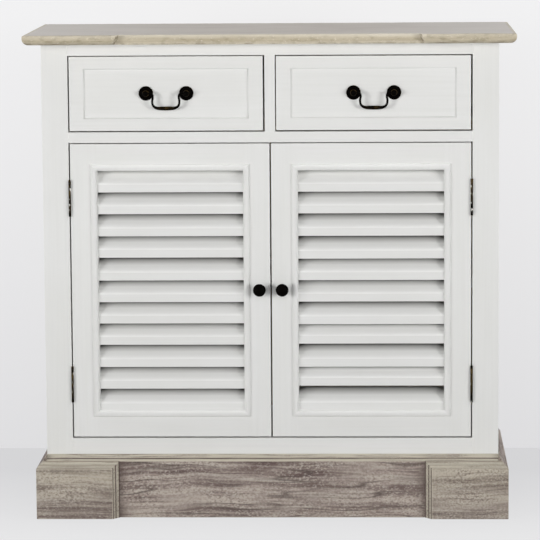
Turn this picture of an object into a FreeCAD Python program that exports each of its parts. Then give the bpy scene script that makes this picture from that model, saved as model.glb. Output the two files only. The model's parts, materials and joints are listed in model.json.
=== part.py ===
"""Louvred door cabinet: a white painted cupboard with two drawers over two louvred doors.

The cabinet stands on the floor at z = 0, centred on x and y, with its front towards -y.
Every size is in millimetres and lives in the sheet called sizes. The right-hand pieces are
built and the left-hand ones are their mirror images.
"""
import FreeCAD, Part
import Sketcher
import math
import os
import re

SIZES = {
    # Carcass and face frame
    "carcass_width": 746,
    "side_thickness": 15,
    "back_thickness": 5,
    "floor_thickness": 18,
    "frame_depth": 22,
    "stile_width": 43,
    "mullion_width": 17,
    "top_rail_height": 19,
    "drawer_opening_height": 125,
    "middle_rail_height": 17.5,
    "door_opening_height": 490,
    "bottom_rail_show": 26,
    "bottom_rail_height": 70,
    # Top with a projecting wing at each end
    "top_thickness": 16,
    "top_side_overhang": 27,
    "top_front_overhang": 22,
    "wing_projection": 12,
    "wing_length": 150,
    "wing_return": 6,
    "top_under_round": 9.5,
    "top_edge_round": 2.5,
    # Plinth boards and corner blocks
    "plinth_height": 104.5,
    "plinth_thickness": 16,
    "ledge_width": 8,
    "ledge_drop": 4,
    "quirk_drop": 2,
    "nosing_width": 3,
    "nosing_drop": 3.5,
    "side_ledge_width": 4,
    "block_length": 137,
    "block_thickness": 13.5,
    "block_drop": 7.5,
    "block_bevel_drop": 13,
    "block_bevel_width": 11.5,
    # Shelf and its pins
    "shelf_height": 372,
    "shelf_thickness": 16,
    "shelf_setback": 40,
    "shelf_gap": 0.5,
    "pin_diameter": 5,
    "pin_length": 20,
    "pin_inset": 45,
    # Doors
    "door_gap": 2.5,
    "door_thickness": 22,
    "door_stile_width": 43.5,
    "door_top_rail": 43.5,
    "door_bottom_rail": 44,
    "tenon_length": 25,
    "tenon_thickness": 7,
    "tenon_shoulder": 8,
    "bead_width": 10.5,
    "bead_step": 0.7,
    "bead_round": 3.8,
    "slat_count": 11,
    "slat_thickness": 11,
    "slat_angle": 45,
    "slat_depth": 20,
    "slat_setback": 1,
    "slat_housing": 6,
    # Door knobs
    "knob_diameter": 20,
    "knob_head": 14,
    "knob_reach": 24,
    "knob_neck_diameter": 9,
    "knob_rose_diameter": 15,
    "knob_rose_thickness": 3,
    "knob_inset": 17.4,
    "knob_rise": 3.7,
    "knob_bolt_diameter": 4,
    # Butt hinges
    "hinge_height": 60,
    "hinge_margin": 58,
    "leaf_width": 16,
    "leaf_thickness": 1,
    "leaf_clearance": 0.5,
    "knuckle_diameter": 4,
    "knuckle_clearance": 0.3,
    "knuckle_gap": 0.3,
    "hinge_pin_diameter": 2.4,
    "hinge_pin_clearance": 0.05,
    "hinge_screw_diameter": 3,
    "hinge_screw_head": 5.6,
    "hinge_screw_length": 14,
    "hinge_screw_pitch": 20,
    # Magnetic catches
    "catch_width": 16,
    "catch_depth": 14,
    "catch_height": 12,
    "catch_inset": 12,
    "catch_gap": 0.3,
    "strike_thickness": 1,
    "strike_height": 14,
    # Drawers and their runners
    "drawer_front_thickness": 20,
    "drawer_box_length": 256,
    "drawer_back_gap": 35,
    "drawer_headroom": 20,
    "drawer_box_gap": 3,
    "drawer_side_thickness": 10,
    "drawer_bottom_thickness": 4,
    "drawer_bottom_rise": 10,
    "drawer_groove": 5,
    "field_side_margin": 23,
    "field_level_margin": 19.5,
    "field_bevel": 3,
    "field_depth": 3,
    "runner_width": 20,
    "guide_height": 18,
    "guide_setback": 6,
    "guide_clearance": 0.4,
    "rear_rail_depth": 22,
    "cleat_width": 28,
    # Bail pulls
    "pull_spacing": 66,
    "pull_rise": 0.7,
    "rosette_diameter": 23.7,
    "rosette_thickness": 3,
    "stud_diameter": 10,
    "stud_reach": 14,
    "pivot_reach": 9,
    "bail_wire": 3.7,
    "bail_shank": 1.5,
    "bail_drop": 24.2,
    "bail_bend": 4.5,
    "bail_grip": 5.8,
    "bail_grip_length": 26,
    "bail_pin_depth": 3,
    "bail_clearance": 0.08,
    "pull_bolt_diameter": 4,
    "pull_nut_diameter": 8,
    "pull_nut_thickness": 3,
    # Carcass screws
    "screw_diameter": 4,
    "screw_head": 8,
    "screw_length": 30,
    "back_screw_length": 14,
    "screw_inset": 60,
}

doc = FreeCAD.newDocument("louvred_cabinet")
sheet = doc.addObject("Spreadsheet::Sheet", "sizes")
for row, (name, value) in enumerate(SIZES.items(), start=1):
    sheet.set(f"A{row}", name)
    sheet.set(f"B{row}", str(value))
    sheet.setAlias(f"B{row}", name)
doc.recompute()

nodes = {}


def cells(text):
    """Point every size named in an expression at its cell in the sheet."""
    return re.sub(r"[a-z_]+", lambda word: "sizes." + word[0] if word[0] in SIZES else word[0], text)


def bind(piece, **settings):
    """Tie properties of a piece to expressions of the sizes."""
    for prop, text in settings.items():
        piece.setExpression(prop, cells(text))
    return piece


def place(piece, x="0", y="0", z="0"):
    """Tie the place of a piece to expressions of the sizes."""
    for axis, text in zip("xyz", (x, y, z)):
        piece.setExpression(f"Placement.Base.{axis}", cells(text))
    return piece


def node(label, piece):
    """Name a finished sub-part."""
    piece.Label = label
    nodes[label] = piece
    return piece


def board(x, y, z):
    """A square-edged board between a low and a high face on each axis."""
    piece = doc.addObject("Part::Box", "board")
    spans = [f"({high}) - ({low})" for low, high in (x, y, z)]
    bind(piece, Length=spans[0], Width=spans[1], Height=spans[2])
    return place(piece, x[0], y[0], z[0])


AXIS_TURN = {
    "x": FreeCAD.Rotation(FreeCAD.Vector(0, 1, 0), 90),
    "y": FreeCAD.Rotation(FreeCAD.Vector(1, 0, 0), -90),
    "-x": FreeCAD.Rotation(FreeCAD.Vector(0, 1, 0), -90),
    "-y": FreeCAD.Rotation(FreeCAD.Vector(1, 0, 0), 90),
    "z": FreeCAD.Rotation(),
    "-z": FreeCAD.Rotation(FreeCAD.Vector(1, 0, 0), 180),
}


def rod(start, axis, length, diameter):
    """A round bar from a start point along one axis."""
    piece = doc.addObject("Part::Cylinder", "rod")
    piece.Placement.Rotation = AXIS_TURN[axis]
    bind(piece, Height=length, Radius=f"({diameter}) / 2")
    return place(piece, *start)


def taper(start, axis, length, diameter, end_diameter):
    """A round cone from a start point along one axis."""
    piece = doc.addObject("Part::Cone", "taper")
    piece.Placement.Rotation = AXIS_TURN[axis]
    bind(piece, Height=length, Radius1=f"({diameter}) / 2", Radius2=f"({end_diameter}) / 2")
    return place(piece, *start)


def spheroid(centre, long_axis, length, diameter):
    """A round body, longer or shorter along one axis than across it."""
    piece = doc.addObject("Part::Ellipsoid", "spheroid")
    piece.Placement.Rotation = AXIS_TURN[long_axis]
    half = f"({diameter}) / 2"
    bind(piece, Radius1=f"({length}) / 2", Radius2=half, Radius3=half)
    return place(piece, *centre)


def join(*pieces):
    """Several shapes made into one solid."""
    piece = doc.addObject("Part::MultiFuse", "joined")
    piece.Shapes = list(pieces)
    return piece


def group(*pieces):
    """Separate solids kept together in one sub-part."""
    piece = doc.addObject("Part::Compound", "group")
    piece.Links = list(pieces)
    return piece


def cut(base, *tools):
    """A solid with one or more others taken away from it."""
    for tool in tools:
        piece = doc.addObject("Part::Cut", "cut")
        piece.Base = base
        piece.Tool = tool
        base = piece
    return base


def mirrored(source):
    """The left-hand image of a right-hand piece."""
    piece = doc.addObject("Part::Mirroring", "mirrored")
    piece.Source = source
    piece.Normal = FreeCAD.Vector(1, 0, 0)
    return piece


def outline(body, role, points, lift="0"):
    """A closed outline of straight lines, each corner tied to expressions of the sizes."""
    drawing = body.newObject("Sketcher::SketchObject", "outline")
    plane = next(feature for feature in body.Origin.OriginFeatures if feature.Role == role)
    drawing.AttachmentSupport = [(plane, "")]
    drawing.MapMode = "FlatFace"
    drawing.setExpression("AttachmentOffset.Base.z", cells(lift))
    count = len(points)
    # The lines start as a rough ring of corners, which the ties below then pull into place.
    ring = []
    for corner in range(count):
        turn = 2 * math.pi * corner / count
        ring.append(FreeCAD.Vector(math.cos(turn), math.sin(turn)) * 100)
    for corner in range(count):
        drawing.addGeometry(Part.LineSegment(ring[corner], ring[(corner + 1) % count]))
    for corner in range(count):
        drawing.addConstraint(Sketcher.Constraint("Coincident", corner, 2, (corner + 1) % count, 1))
    for corner, (across, up) in enumerate(points):
        for kind, text in (("DistanceX", across), ("DistanceY", up)):
            tie = drawing.addConstraint(Sketcher.Constraint(kind, -1, 1, corner, 1, 1.0))
            drawing.setExpression(f"Constraints[{tie}]", cells(text))
    return drawing


def extruded(role, points, length, lift="0"):
    """A body padded from an outline on one of its own planes."""
    body = doc.addObject("PartDesign::Body", "extruded")
    body.AllowCompound = True
    drawing = outline(body, role, points, lift)
    pad = body.newObject("PartDesign::Pad", "pad")
    pad.Profile = drawing
    bind(pad, Length=length)
    body.Tip = pad
    return body


def rounded(body, wanted, radius):
    """Round the edges of a body that a test on their ends picks out."""
    doc.recompute()
    base = body.Tip
    names = []
    for number, edge in enumerate(base.Shape.Edges, start=1):
        if wanted(edge.BoundBox):
            names.append(f"Edge{number}")
    fillet = body.newObject("PartDesign::Fillet", "rounding")
    fillet.Base = (base, names)
    bind(fillet, Radius=radius)
    body.Tip = fillet
    return body


# Levels up the cabinet, from the floor to the underside of the top.
cupboard_floor = "(plinth_height + bottom_rail_show)"
door_head = f"({cupboard_floor} + door_opening_height)"
drawer_sill = f"({door_head} + middle_rail_height)"
drawer_head = f"({drawer_sill} + drawer_opening_height)"
carcass_top = f"({drawer_head} + top_rail_height)"
top_level = f"({carcass_top} + top_thickness)"

# Planes from front to back, and from the middle out to the right-hand side. The carcass is as
# deep as its drawers, the gap behind them and the back panel.
carcass_depth = "(drawer_front_thickness + drawer_box_length + drawer_back_gap + back_thickness)"
face = f"((top_front_overhang + wing_projection - {carcass_depth}) / 2)"
rear = f"({face} + {carcass_depth})"
behind_frame = f"({face} + frame_depth)"
panel_front = f"({rear} - back_thickness)"
outside = "(carcass_width / 2)"
inside = f"({outside} - side_thickness)"
opening = f"({outside} - stile_width)"


def wood_screw(start, axis, length, diameter, head):
    """A countersunk screw, its head flush at the start point."""
    return join(
        taper(start, axis, f"({head} - {diameter}) / 2", head, diameter),
        rod(start, axis, length, diameter),
    )


# Top board, with a wing at each end that stands further forward
end_x = f"({outside} + top_side_overhang)"
wing_front = f"({face} - top_front_overhang - wing_projection)"
middle_front = f"({face} - top_front_overhang)"
wing_x = f"({end_x} - wing_length)"
return_x = f"({wing_x} - wing_return)"
top = extruded(
    "XY_Plane",
    [
        (f"-{end_x}", wing_front), (f"-{wing_x}", wing_front), (f"-{return_x}", middle_front),
        (return_x, middle_front), (wing_x, wing_front), (end_x, wing_front),
        (end_x, rear), (f"-{end_x}", rear),
    ],
    "top_thickness",
    carcass_top,
)


def show_edge(level):
    """A test for the front and end edges of the top at its lower (0) or upper (1) face."""
    def wanted(box):
        flat = box.ZLength < 0.01
        at_level = abs(box.ZMin - (top_box.ZMin, top_box.ZMax)[level]) < 0.01
        at_back = box.YMin > top_box.YMax - 0.01
        return flat and at_level and not at_back
    return wanted


doc.recompute()
top_box = top.Shape.BoundBox
rounded(top, show_edge(0), "top_under_round")
rounded(top, show_edge(1), "top_edge_round")

# Kicker cleats under the top, which keep the drawers level and take the top's screws
cleat_y = (behind_frame, panel_front)
cleat_z = (drawer_head, carcass_top)
side_cleat = board((f"{inside} - cleat_width", inside), cleat_y, cleat_z)
middle_cleat = board(("-cleat_width / 2", "cleat_width / 2"), cleat_y, cleat_z)
screw_rows = (f"{behind_frame} + screw_inset", f"{panel_front} - screw_inset")
top_screws = []
for column in (f"-({inside} - cleat_width / 2)", "0", f"{inside} - cleat_width / 2"):
    for row_y in screw_rows:
        start = (column, row_y, drawer_head)
        top_screws.append(wood_screw(start, "z", "screw_length", "screw_diameter", "screw_head"))
cleats = group(mirrored(side_cleat), middle_cleat, side_cleat)
top_fixings = group(*top_screws)

# Back panel between the sides, screwed to the rear rail and the cupboard floor
back_screws = []
rail_middle = f"({door_head} + {drawer_sill}) / 2"
floor_middle = f"{cupboard_floor} - floor_thickness / 2"
for column in (f"-({inside} - screw_inset)", "0", f"{inside} - screw_inset"):
    for level in (rail_middle, floor_middle):
        start = (column, rear, level)
        back_screws.append(
            wood_screw(start, "-y", "back_screw_length", "screw_diameter", "screw_head"))
back_fixings = group(*back_screws)
node("carcass_screws", group(top_fixings, back_fixings))
node("top_board", cut(top, top_fixings))
node("top_cleats", cut(cleats, top_fixings))
floor_underside = f"({cupboard_floor} - floor_thickness)"
panel = board((f"-{inside}", inside), (panel_front, rear), (floor_underside, carcass_top))
node("back_panel", cut(panel, back_fixings))

# Shelf pins, with a hole for each in the side panels
shelf_front = f"({behind_frame} + shelf_setback)"
pin_level = "(shelf_height - pin_diameter / 2)"
pins = []
for pin_y in (f"{shelf_front} + pin_inset", f"{panel_front} - pin_inset"):
    pins.append(rod((f"{inside} - pin_length / 2", pin_y, pin_level), "x", "pin_length", "pin_diameter"))
right_pins = group(*pins)
node("shelf_pins", group(mirrored(right_pins), right_pins))
shelf_x = f"({inside} - shelf_gap)"
node("shelf", board((f"-{shelf_x}", shelf_x), (shelf_front, panel_front),
                    ("shelf_height", "shelf_height + shelf_thickness")))

# Side panels, which reach the floor behind the plinth
side = board((inside, outside), (behind_frame, rear), ("0", carcass_top))
node("right_side", cut(side, right_pins))
node("left_side", mirrored(nodes["right_side"]))

# Cupboard floor, rear rail and the runners that carry the drawers
inside_x = (f"-{inside}", inside)
floor_panel = board(inside_x, (behind_frame, panel_front), (floor_underside, cupboard_floor))
node("floor_panel", cut(floor_panel, back_fixings))
rear_rail_y = (f"{panel_front} - rear_rail_depth", panel_front)
rear_rail = board(inside_x, rear_rail_y, (door_head, drawer_sill))
node("rear_rail", cut(rear_rail, back_fixings))

drawer_inner = "(mullion_width / 2 + drawer_box_gap)"
drawer_outer = f"({opening} - drawer_box_gap)"
runner_y = (behind_frame, rear_rail_y[0])
runner_z = (door_head, drawer_sill)
guide_y = (f"{behind_frame} + guide_setback", rear_rail_y[0])
guide_z = (drawer_sill, f"{drawer_sill} + guide_height")
side_runner = join(
    board((f"{drawer_outer} - runner_width", inside), runner_y, runner_z),
    board((f"{drawer_outer} + guide_clearance", inside), guide_y, guide_z),
)
reach = f"({drawer_inner} + runner_width)"
rib = f"({drawer_inner} - guide_clearance)"
middle_runner = join(
    board((f"-{reach}", reach), runner_y, runner_z),
    board((f"-{rib}", rib), guide_y, guide_z),
)
node("drawer_runners", group(mirrored(side_runner), middle_runner, side_runner))

# Butt hinges: five knuckles in turn on the frame leaf and the door leaf, round one pin
lock_edge = "(door_gap / 2)"
hinge_gap = "(2 * leaf_thickness + leaf_clearance)"
hinge_edge = f"({opening} - {hinge_gap})"
door_bottom = f"({cupboard_floor} + door_gap)"
door_top = f"({door_head} - door_gap)"
hinge_x = f"({opening} - {hinge_gap} / 2)"
hinge_y = f"({face} - knuckle_diameter / 2 - knuckle_clearance)"
hinge_levels = (f"({door_bottom} + hinge_margin)", f"({door_top} - hinge_margin - hinge_height)")
knuckle = "((hinge_height - 4 * knuckle_gap) / 5)"


def hinge_leaf(level, plate_x, turns):
    """One leaf with its own knuckles, bored for the pin."""
    pieces = [board(plate_x, (face, f"{face} + leaf_width"), (level, f"{level} + hinge_height"))]
    for turn in turns:
        low = f"({level} + {turn} * ({knuckle} + knuckle_gap))"
        pieces.append(rod((hinge_x, hinge_y, low), "z", knuckle, "knuckle_diameter"))
        pieces.append(board(plate_x, (hinge_y, face), (low, f"{low} + {knuckle}")))
    bore = rod((hinge_x, hinge_y, level), "z", "hinge_height",
               "hinge_pin_diameter + 2 * hinge_pin_clearance")
    return cut(join(*pieces), bore)


def hinge_screws(level, start_x, axis):
    """Three screws up a leaf, staggered, with their heads flush in its face."""
    screws = []
    for step, share in ((-1, 0.65), (0, 0.4), (1, 0.65)):
        start = (start_x, f"{face} + {share} * leaf_width",
                 f"{level} + hinge_height / 2 + {step} * hinge_screw_pitch")
        screws.append(
            wood_screw(start, axis, "hinge_screw_length", "hinge_screw_diameter", "hinge_screw_head"))
    return screws


frame_leaf_x = (f"{opening} - leaf_thickness", opening)
door_leaf_x = (hinge_edge, f"{hinge_edge} + leaf_thickness")
frame_leaves, door_leaves, frame_screws, door_screws, hinge_pins = [], [], [], [], []
for level in hinge_levels:
    frame_leaves.append(hinge_leaf(level, frame_leaf_x, (0, 2, 4)))
    door_leaves.append(hinge_leaf(level, door_leaf_x, (1, 3)))
    frame_screws += hinge_screws(level, frame_leaf_x[0], "x")
    door_screws += hinge_screws(level, door_leaf_x[1], "-x")
    hinge_pins.append(rod((hinge_x, hinge_y, level), "z", "hinge_height", "hinge_pin_diameter"))
right_frame_screws = group(*frame_screws)
right_frame_leaves = cut(group(*frame_leaves), right_frame_screws)
right_hinge_pins = group(*hinge_pins)
node("frame_hinge_leaves", group(mirrored(right_frame_leaves), right_frame_leaves))
node("frame_hinge_screws", group(mirrored(right_frame_screws), right_frame_screws))
node("hinge_pins", group(mirrored(right_hinge_pins), right_hinge_pins))
right_door_screws = group(*door_screws)
node("right_door_hinge_screws", right_door_screws)
node("right_door_hinge_leaves", cut(group(*door_leaves), right_door_screws))

# Face frame: two stiles down to the floor, three rails and the mullion between the drawers
frame_y = (face, behind_frame)
stile = board((opening, outside), frame_y, ("0", carcass_top))
node("right_stile", cut(stile, right_frame_screws))
node("left_stile", mirrored(nodes["right_stile"]))
rail_x = (f"-{opening}", opening)
node("top_rail", board(rail_x, frame_y, (drawer_head, carcass_top)))
node("middle_rail", board(rail_x, frame_y, (door_head, drawer_sill)))
node("bottom_rail", board(rail_x, frame_y, (f"{cupboard_floor} - bottom_rail_height", cupboard_floor)))
mullion_x = ("-mullion_width / 2", "mullion_width / 2")
node("drawer_mullion", board(mullion_x, frame_y, (drawer_sill, drawer_head)))

# Plinth planted round the carcass: a sloping ledge, a quirk, then a rounded nosing
plinth_front = f"({face} - plinth_thickness)"
ledge_z = "(plinth_height - ledge_drop)"
quirk_z = f"({ledge_z} - quirk_drop)"
front_board = extruded(
    "YZ_Plane",
    [
        (face, "0"), (face, "plinth_height"), (f"{face} - ledge_width", ledge_z),
        (f"{face} - ledge_width", quirk_z), (f"{plinth_front} + nosing_width", quirk_z),
        (plinth_front, f"{quirk_z} - nosing_drop"), (plinth_front, "0"),
    ],
    "carcass_width",
    f"-{outside}",
)
node("plinth_front", front_board)
block_height = "(plinth_height - block_drop)"
block_face = f"({block_height} - block_bevel_drop)"
plinth_side = f"({outside} + plinth_thickness)"
side_board = extruded(
    "XZ_Plane",
    [
        (outside, "0"), (plinth_side, "0"), (plinth_side, block_face),
        (f"{outside} + side_ledge_width", quirk_z), (f"{outside} + side_ledge_width", ledge_z),
        (outside, "plinth_height"),
    ],
    f"{carcass_depth} + plinth_thickness",
    f"-{rear}",
)
node("right_plinth", side_board)
node("left_plinth", mirrored(side_board))
back_board_y = (f"{panel_front} - plinth_thickness", panel_front)
node("plinth_back", board(inside_x, back_board_y, ("0", floor_underside)))

# Corner blocks on the plinth, sloping back at the top and at the inner end, and hipped to the side boards
sloped = doc.addObject("Part::Wedge", "sloped")
block_x = f"({plinth_side} - block_length)"
bind(
    sloped,
    Xmin=f"{block_x} + block_bevel_width", Xmax=plinth_side, Zmin="0", Zmax=block_face,
    Ymin=f"{plinth_front} - block_thickness", Ymax=plinth_front,
    X2min=block_x, X2max=plinth_side, Z2min="0", Z2max=block_height,
)
above_side_slope = extruded(
    "XZ_Plane",
    [(plinth_side, block_face), (plinth_side, quirk_z), (f"{outside} + side_ledge_width", quirk_z)],
    "block_thickness",
    f"-{plinth_front}",
)
block = cut(sloped, above_side_slope)
node("right_plinth_block", block)
node("left_plinth_block", mirrored(block))

# Magnetic catches under the middle runner, and the strikes on the doors that meet them
door_y = (face, f"{face} + door_thickness")
strike_x = ("catch_inset", "catch_inset + catch_width")
strike_y = (door_y[1], f"{door_y[1]} + strike_thickness")
strike_z = (f"{door_top} - strike_height", door_top)
catch_front = f"({strike_y[1]} + catch_gap)"
catch_y = (catch_front, f"{catch_front} + catch_depth")
catch = board(strike_x, catch_y, (f"{door_head} - catch_height", door_head))
node("door_catches", group(mirrored(catch), catch))
node("right_door_strike", board(strike_x, strike_y, strike_z))

# Louvre slats, tilted boards with plumb front edges, housed in the door's stiles
louvre_x = (f"({lock_edge} + door_stile_width)", f"({hinge_edge} - door_stile_width)")
louvre_z = (f"({door_bottom} + door_bottom_rail)", f"({door_top} - door_top_rail)")
slat_front = f"({face} + slat_setback)"
slat_back = f"({slat_front} + slat_depth)"
slat_edge = "(slat_thickness / cos(slat_angle * 1deg))"
slat_climb = "(slat_depth * tan(slat_angle * 1deg))"
slats = extruded(
    "YZ_Plane",
    [
        (slat_front, louvre_z[0]),
        (slat_front, f"{louvre_z[0]} + {slat_edge}"),
        (slat_back, f"{louvre_z[0]} + {slat_edge} + {slat_climb}"),
        (slat_back, f"{louvre_z[0]} + {slat_climb}"),
    ],
    f"{louvre_x[1]} - {louvre_x[0]} + 2 * slat_housing",
    f"{louvre_x[0]} - slat_housing",
)
stack = slats.newObject("PartDesign::LinearPattern", "stack")
stack.Originals = [slats.Tip]
stack.Direction = (slats.Tip.Profile[0], ["V_Axis"])
slat_pitch = f"(({louvre_z[1]} - {louvre_z[0]}) / slat_count)"
bind(stack, Length=f"{slat_pitch} * (slat_count - 1)", Occurrences="slat_count")
slats.Tip = stack
node("right_door_slats", slats)

# Door knob with the bolt that passes through the lock stile
knob_x = f"({lock_edge} + knob_inset)"
knob_z = f"(({door_bottom} + {door_top}) / 2 + knob_rise)"
knob_base = (knob_x, face, knob_z)
head_centre = (knob_x, f"{face} - knob_reach + knob_head / 2", knob_z)
knob = join(
    rod(knob_base, "-y", "knob_rose_thickness", "knob_rose_diameter"),
    rod(knob_base, "-y", "knob_reach - knob_head / 2", "knob_neck_diameter"),
    spheroid(head_centre, "y", "knob_head", "knob_diameter"),
    rod(knob_base, "y", "door_thickness", "knob_bolt_diameter"),
)
node("right_door_knob", knob)

# Door frame: rails tenoned into the stiles, and the slats' ends let into their inner edges
tenon_x = (f"{louvre_x[0]} - tenon_length", f"{louvre_x[1]} + tenon_length")
tenon_cheek = f"({face} + (door_thickness - tenon_thickness) / 2)"
tenon_y = (tenon_cheek, f"{tenon_cheek} + tenon_thickness")
top_tenon_z = (f"{louvre_z[1]} + tenon_shoulder", f"{door_top} - tenon_shoulder")
top_tenon = board(tenon_x, tenon_y, top_tenon_z)
bottom_tenon_z = (f"{door_bottom} + tenon_shoulder", f"{louvre_z[0]} - tenon_shoulder")
bottom_tenon = board(tenon_x, tenon_y, bottom_tenon_z)
door_top_rail = join(board(louvre_x, door_y, (louvre_z[1], door_top)), top_tenon)
node("right_door_top_rail", cut(door_top_rail, slats))
door_bottom_rail = join(board(louvre_x, door_y, (door_bottom, louvre_z[0])), bottom_tenon)
node("right_door_bottom_rail", door_bottom_rail)
door_z = (door_bottom, door_top)
lock_stile = board((lock_edge, louvre_x[0]), door_y, door_z)
node("right_door_lock_stile", cut(lock_stile, top_tenon, bottom_tenon, slats, knob))
hinge_stile = board((louvre_x[1], hinge_edge), door_y, door_z)
node("right_door_hinge_stile", cut(hinge_stile, top_tenon, bottom_tenon, slats, right_door_screws))

# Raised bead round the louvres, planted on the door frame


def rectangle(x, z):
    """The corners of an upright rectangle."""
    return [(x[0], z[0]), (x[1], z[0]), (x[1], z[1]), (x[0], z[1])]


bead_height = "(bead_step + bead_round)"
bead_x = (f"{louvre_x[0]} - bead_width", f"{louvre_x[1]} + bead_width")
bead_z = (f"{louvre_z[0]} - bead_width", f"{louvre_z[1]} + bead_width")
bead = extruded("XZ_Plane", rectangle(bead_x, bead_z), bead_height, f"-{face}")
window = outline(bead, "XZ_Plane", rectangle(louvre_x, louvre_z), f"-{face}")
pocket = bead.newObject("PartDesign::Pocket", "window")
pocket.Profile = window
pocket.Midplane = True
bind(pocket, Length=f"4 * {bead_height}")
bead.Tip = pocket
doc.recompute()
bead_front = bead.Shape.BoundBox.YMin
rounded(bead, lambda box: box.YMax < bead_front + 0.01, "bead_round")
node("right_door_bead", bead)

# Drawer front with a shallow bevelled field
front_x = ("(mullion_width / 2 + door_gap)", f"({opening} - door_gap)")
front_z = (f"({drawer_sill} + door_gap)", f"({drawer_head} - door_gap)")
front_back = f"({face} + drawer_front_thickness)"
field_x = (f"({front_x[0]} + field_side_margin)", f"({front_x[1]} - field_side_margin)")
field_z = (f"({front_z[0]} + field_level_margin)", f"({front_z[1]} - field_level_margin)")
field_face = f"({face} + field_depth)"
field = doc.addObject("Part::Wedge", "field")
bind(
    field,
    Xmin=field_x[0], Xmax=field_x[1], Ymin=face, Ymax=field_face, Zmin=field_z[0], Zmax=field_z[1],
    X2min=f"{field_x[0]} + field_bevel", X2max=f"{field_x[1]} - field_bevel",
    Z2min=f"{field_z[0]} + field_bevel", Z2max=f"{field_z[1]} - field_bevel",
)

# Drawer box: the sides ride on the runners and the bottom slides into grooves
box_back = f"({front_back} + drawer_box_length)"
box_z = (drawer_sill, f"({drawer_head} - drawer_headroom)")
bottom_low = f"({drawer_sill} + drawer_bottom_rise)"
bottom_z = (bottom_low, f"({bottom_low} + drawer_bottom_thickness)")
inner_x = (f"({drawer_inner} + drawer_side_thickness)", f"({drawer_outer} - drawer_side_thickness)")
drawer_bottom = board(
    (f"{inner_x[0]} - drawer_groove", f"{inner_x[1]} + drawer_groove"),
    (f"{front_back} - drawer_groove", box_back), bottom_z)
node("right_drawer_bottom", drawer_bottom)
drawer_sides = group(
    board((drawer_inner, inner_x[0]), (front_back, box_back), box_z),
    board((inner_x[1], drawer_outer), (front_back, box_back), box_z),
)
node("right_drawer_sides", cut(drawer_sides, drawer_bottom))
drawer_back_y = (f"{box_back} - drawer_side_thickness", box_back)
node("right_drawer_back", board(inner_x, drawer_back_y, (bottom_z[1], box_z[1])))

# Bail pull: two rosettes with studs, and a bail that swings in them
pull_x = f"(({front_x[0]} + {front_x[1]}) / 2)"
pull_z = f"(({front_z[0]} + {front_z[1]}) / 2 + pull_rise)"
pivot_y = f"({field_face} - pivot_reach)"
pin_x = "(pull_spacing / 2 - stud_diameter / 2 + bail_pin_depth)"
bail_width = "(pull_spacing - stud_diameter - 2 * bail_shank - 2 * bail_bend)"
elbow_x = f"({bail_width} / 2 + bail_bend)"
low_z = f"({pull_z} - bail_drop)"
bolt_length = "(drawer_front_thickness - field_depth + pull_nut_thickness)"
X, Z = FreeCAD.Vector(1, 0, 0), FreeCAD.Vector(0, 0, 1)


def elbow(x, z, first, second):
    """A quarter bend in the bail's wire, from one direction round to another."""
    piece = doc.addObject("Part::Torus", "elbow")
    piece.Placement.Rotation = FreeCAD.Rotation(first, second, first.cross(second), "XYZ")
    piece.Angle3 = 90
    bind(piece, Radius1="bail_bend", Radius2="bail_wire / 2")
    return place(piece, x, pivot_y, z)


posts, nuts, bail_pieces, bolts = [], [], [], []
for hand, axis, sign in ((X, "x", "+"), (-X, "-x", "-")):
    post_x = f"({pull_x} {sign} pull_spacing / 2)"
    seat = (post_x, field_face, pull_z)
    bolt = rod(seat, "y", bolt_length, "pull_bolt_diameter")
    bolts.append(bolt)
    dome = taper((post_x, f"{field_face} - rosette_thickness / 2", pull_z), "-y", "rosette_thickness",
                 "rosette_diameter", "stud_diameter")
    shank = join(rod(seat, "-y", "rosette_thickness / 2", "rosette_diameter"), dome,
                 rod(seat, "-y", "stud_reach", "stud_diameter"), bolt)
    hole_x = f"({pull_x} {sign} (pull_spacing / 2 - stud_diameter / 2 - bail_bend))"
    hole = rod((hole_x, pivot_y, pull_z), axis, "bail_bend + bail_pin_depth + 2 * bail_clearance",
               "bail_wire + 2 * bail_clearance")
    posts.append(cut(shank, hole))
    nut_seat = (post_x, front_back, pull_z)
    nuts.append(cut(rod(nut_seat, "y", "pull_nut_thickness", "pull_nut_diameter"), bolt))
    leg_x = f"({pull_x} {sign} {bail_width} / 2)"
    bend_x = f"({pull_x} {sign} {elbow_x})"
    bail_pieces += [
        rod((bend_x, pivot_y, pull_z), axis, f"{pin_x} - {elbow_x}", "bail_wire"),
        elbow(bend_x, f"{pull_z} - bail_bend", Z, -hand),
        rod((leg_x, pivot_y, f"{pull_z} - bail_bend"), "-z", "bail_drop - 2 * bail_bend", "bail_wire"),
        elbow(f"({pull_x} {sign} ({bail_width} / 2 - bail_bend))", f"{low_z} + bail_bend", hand, -Z),
    ]
grip_start = (f"({pull_x} - {bail_width} / 2 + bail_bend)", pivot_y, low_z)
bail_pieces.append(rod(grip_start, "x", f"{bail_width} - 2 * bail_bend", "bail_wire"))
bail_pieces.append(spheroid((pull_x, pivot_y, low_z), "x", "bail_grip_length", "bail_grip"))
node("right_drawer_pull_posts", group(*posts, *nuts))
node("right_bail", join(*bail_pieces))
drawer_front = board(front_x, (face, front_back), front_z)
node("right_drawer_front", cut(drawer_front, field, drawer_bottom, *bolts))

# The left-hand doors, drawers and pulls
for label in list(nodes):
    if label.startswith(("right_door_", "right_drawer_", "right_bail")):
        node(label.replace("right_", "left_", 1), mirrored(nodes[label]))

doc.recompute()
faults = []
for thing in doc.Objects:
    if {"Invalid", "Error"} & set(thing.State):
        faults.append(f"{thing.Label} is {thing.State}")
for label, piece in nodes.items():
    if piece.Shape.isNull() or not piece.Shape.isValid() or not piece.Shape.Solids:
        faults.append(f"{label} has no valid solid")
if faults:
    raise RuntimeError("; ".join(faults))

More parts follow.
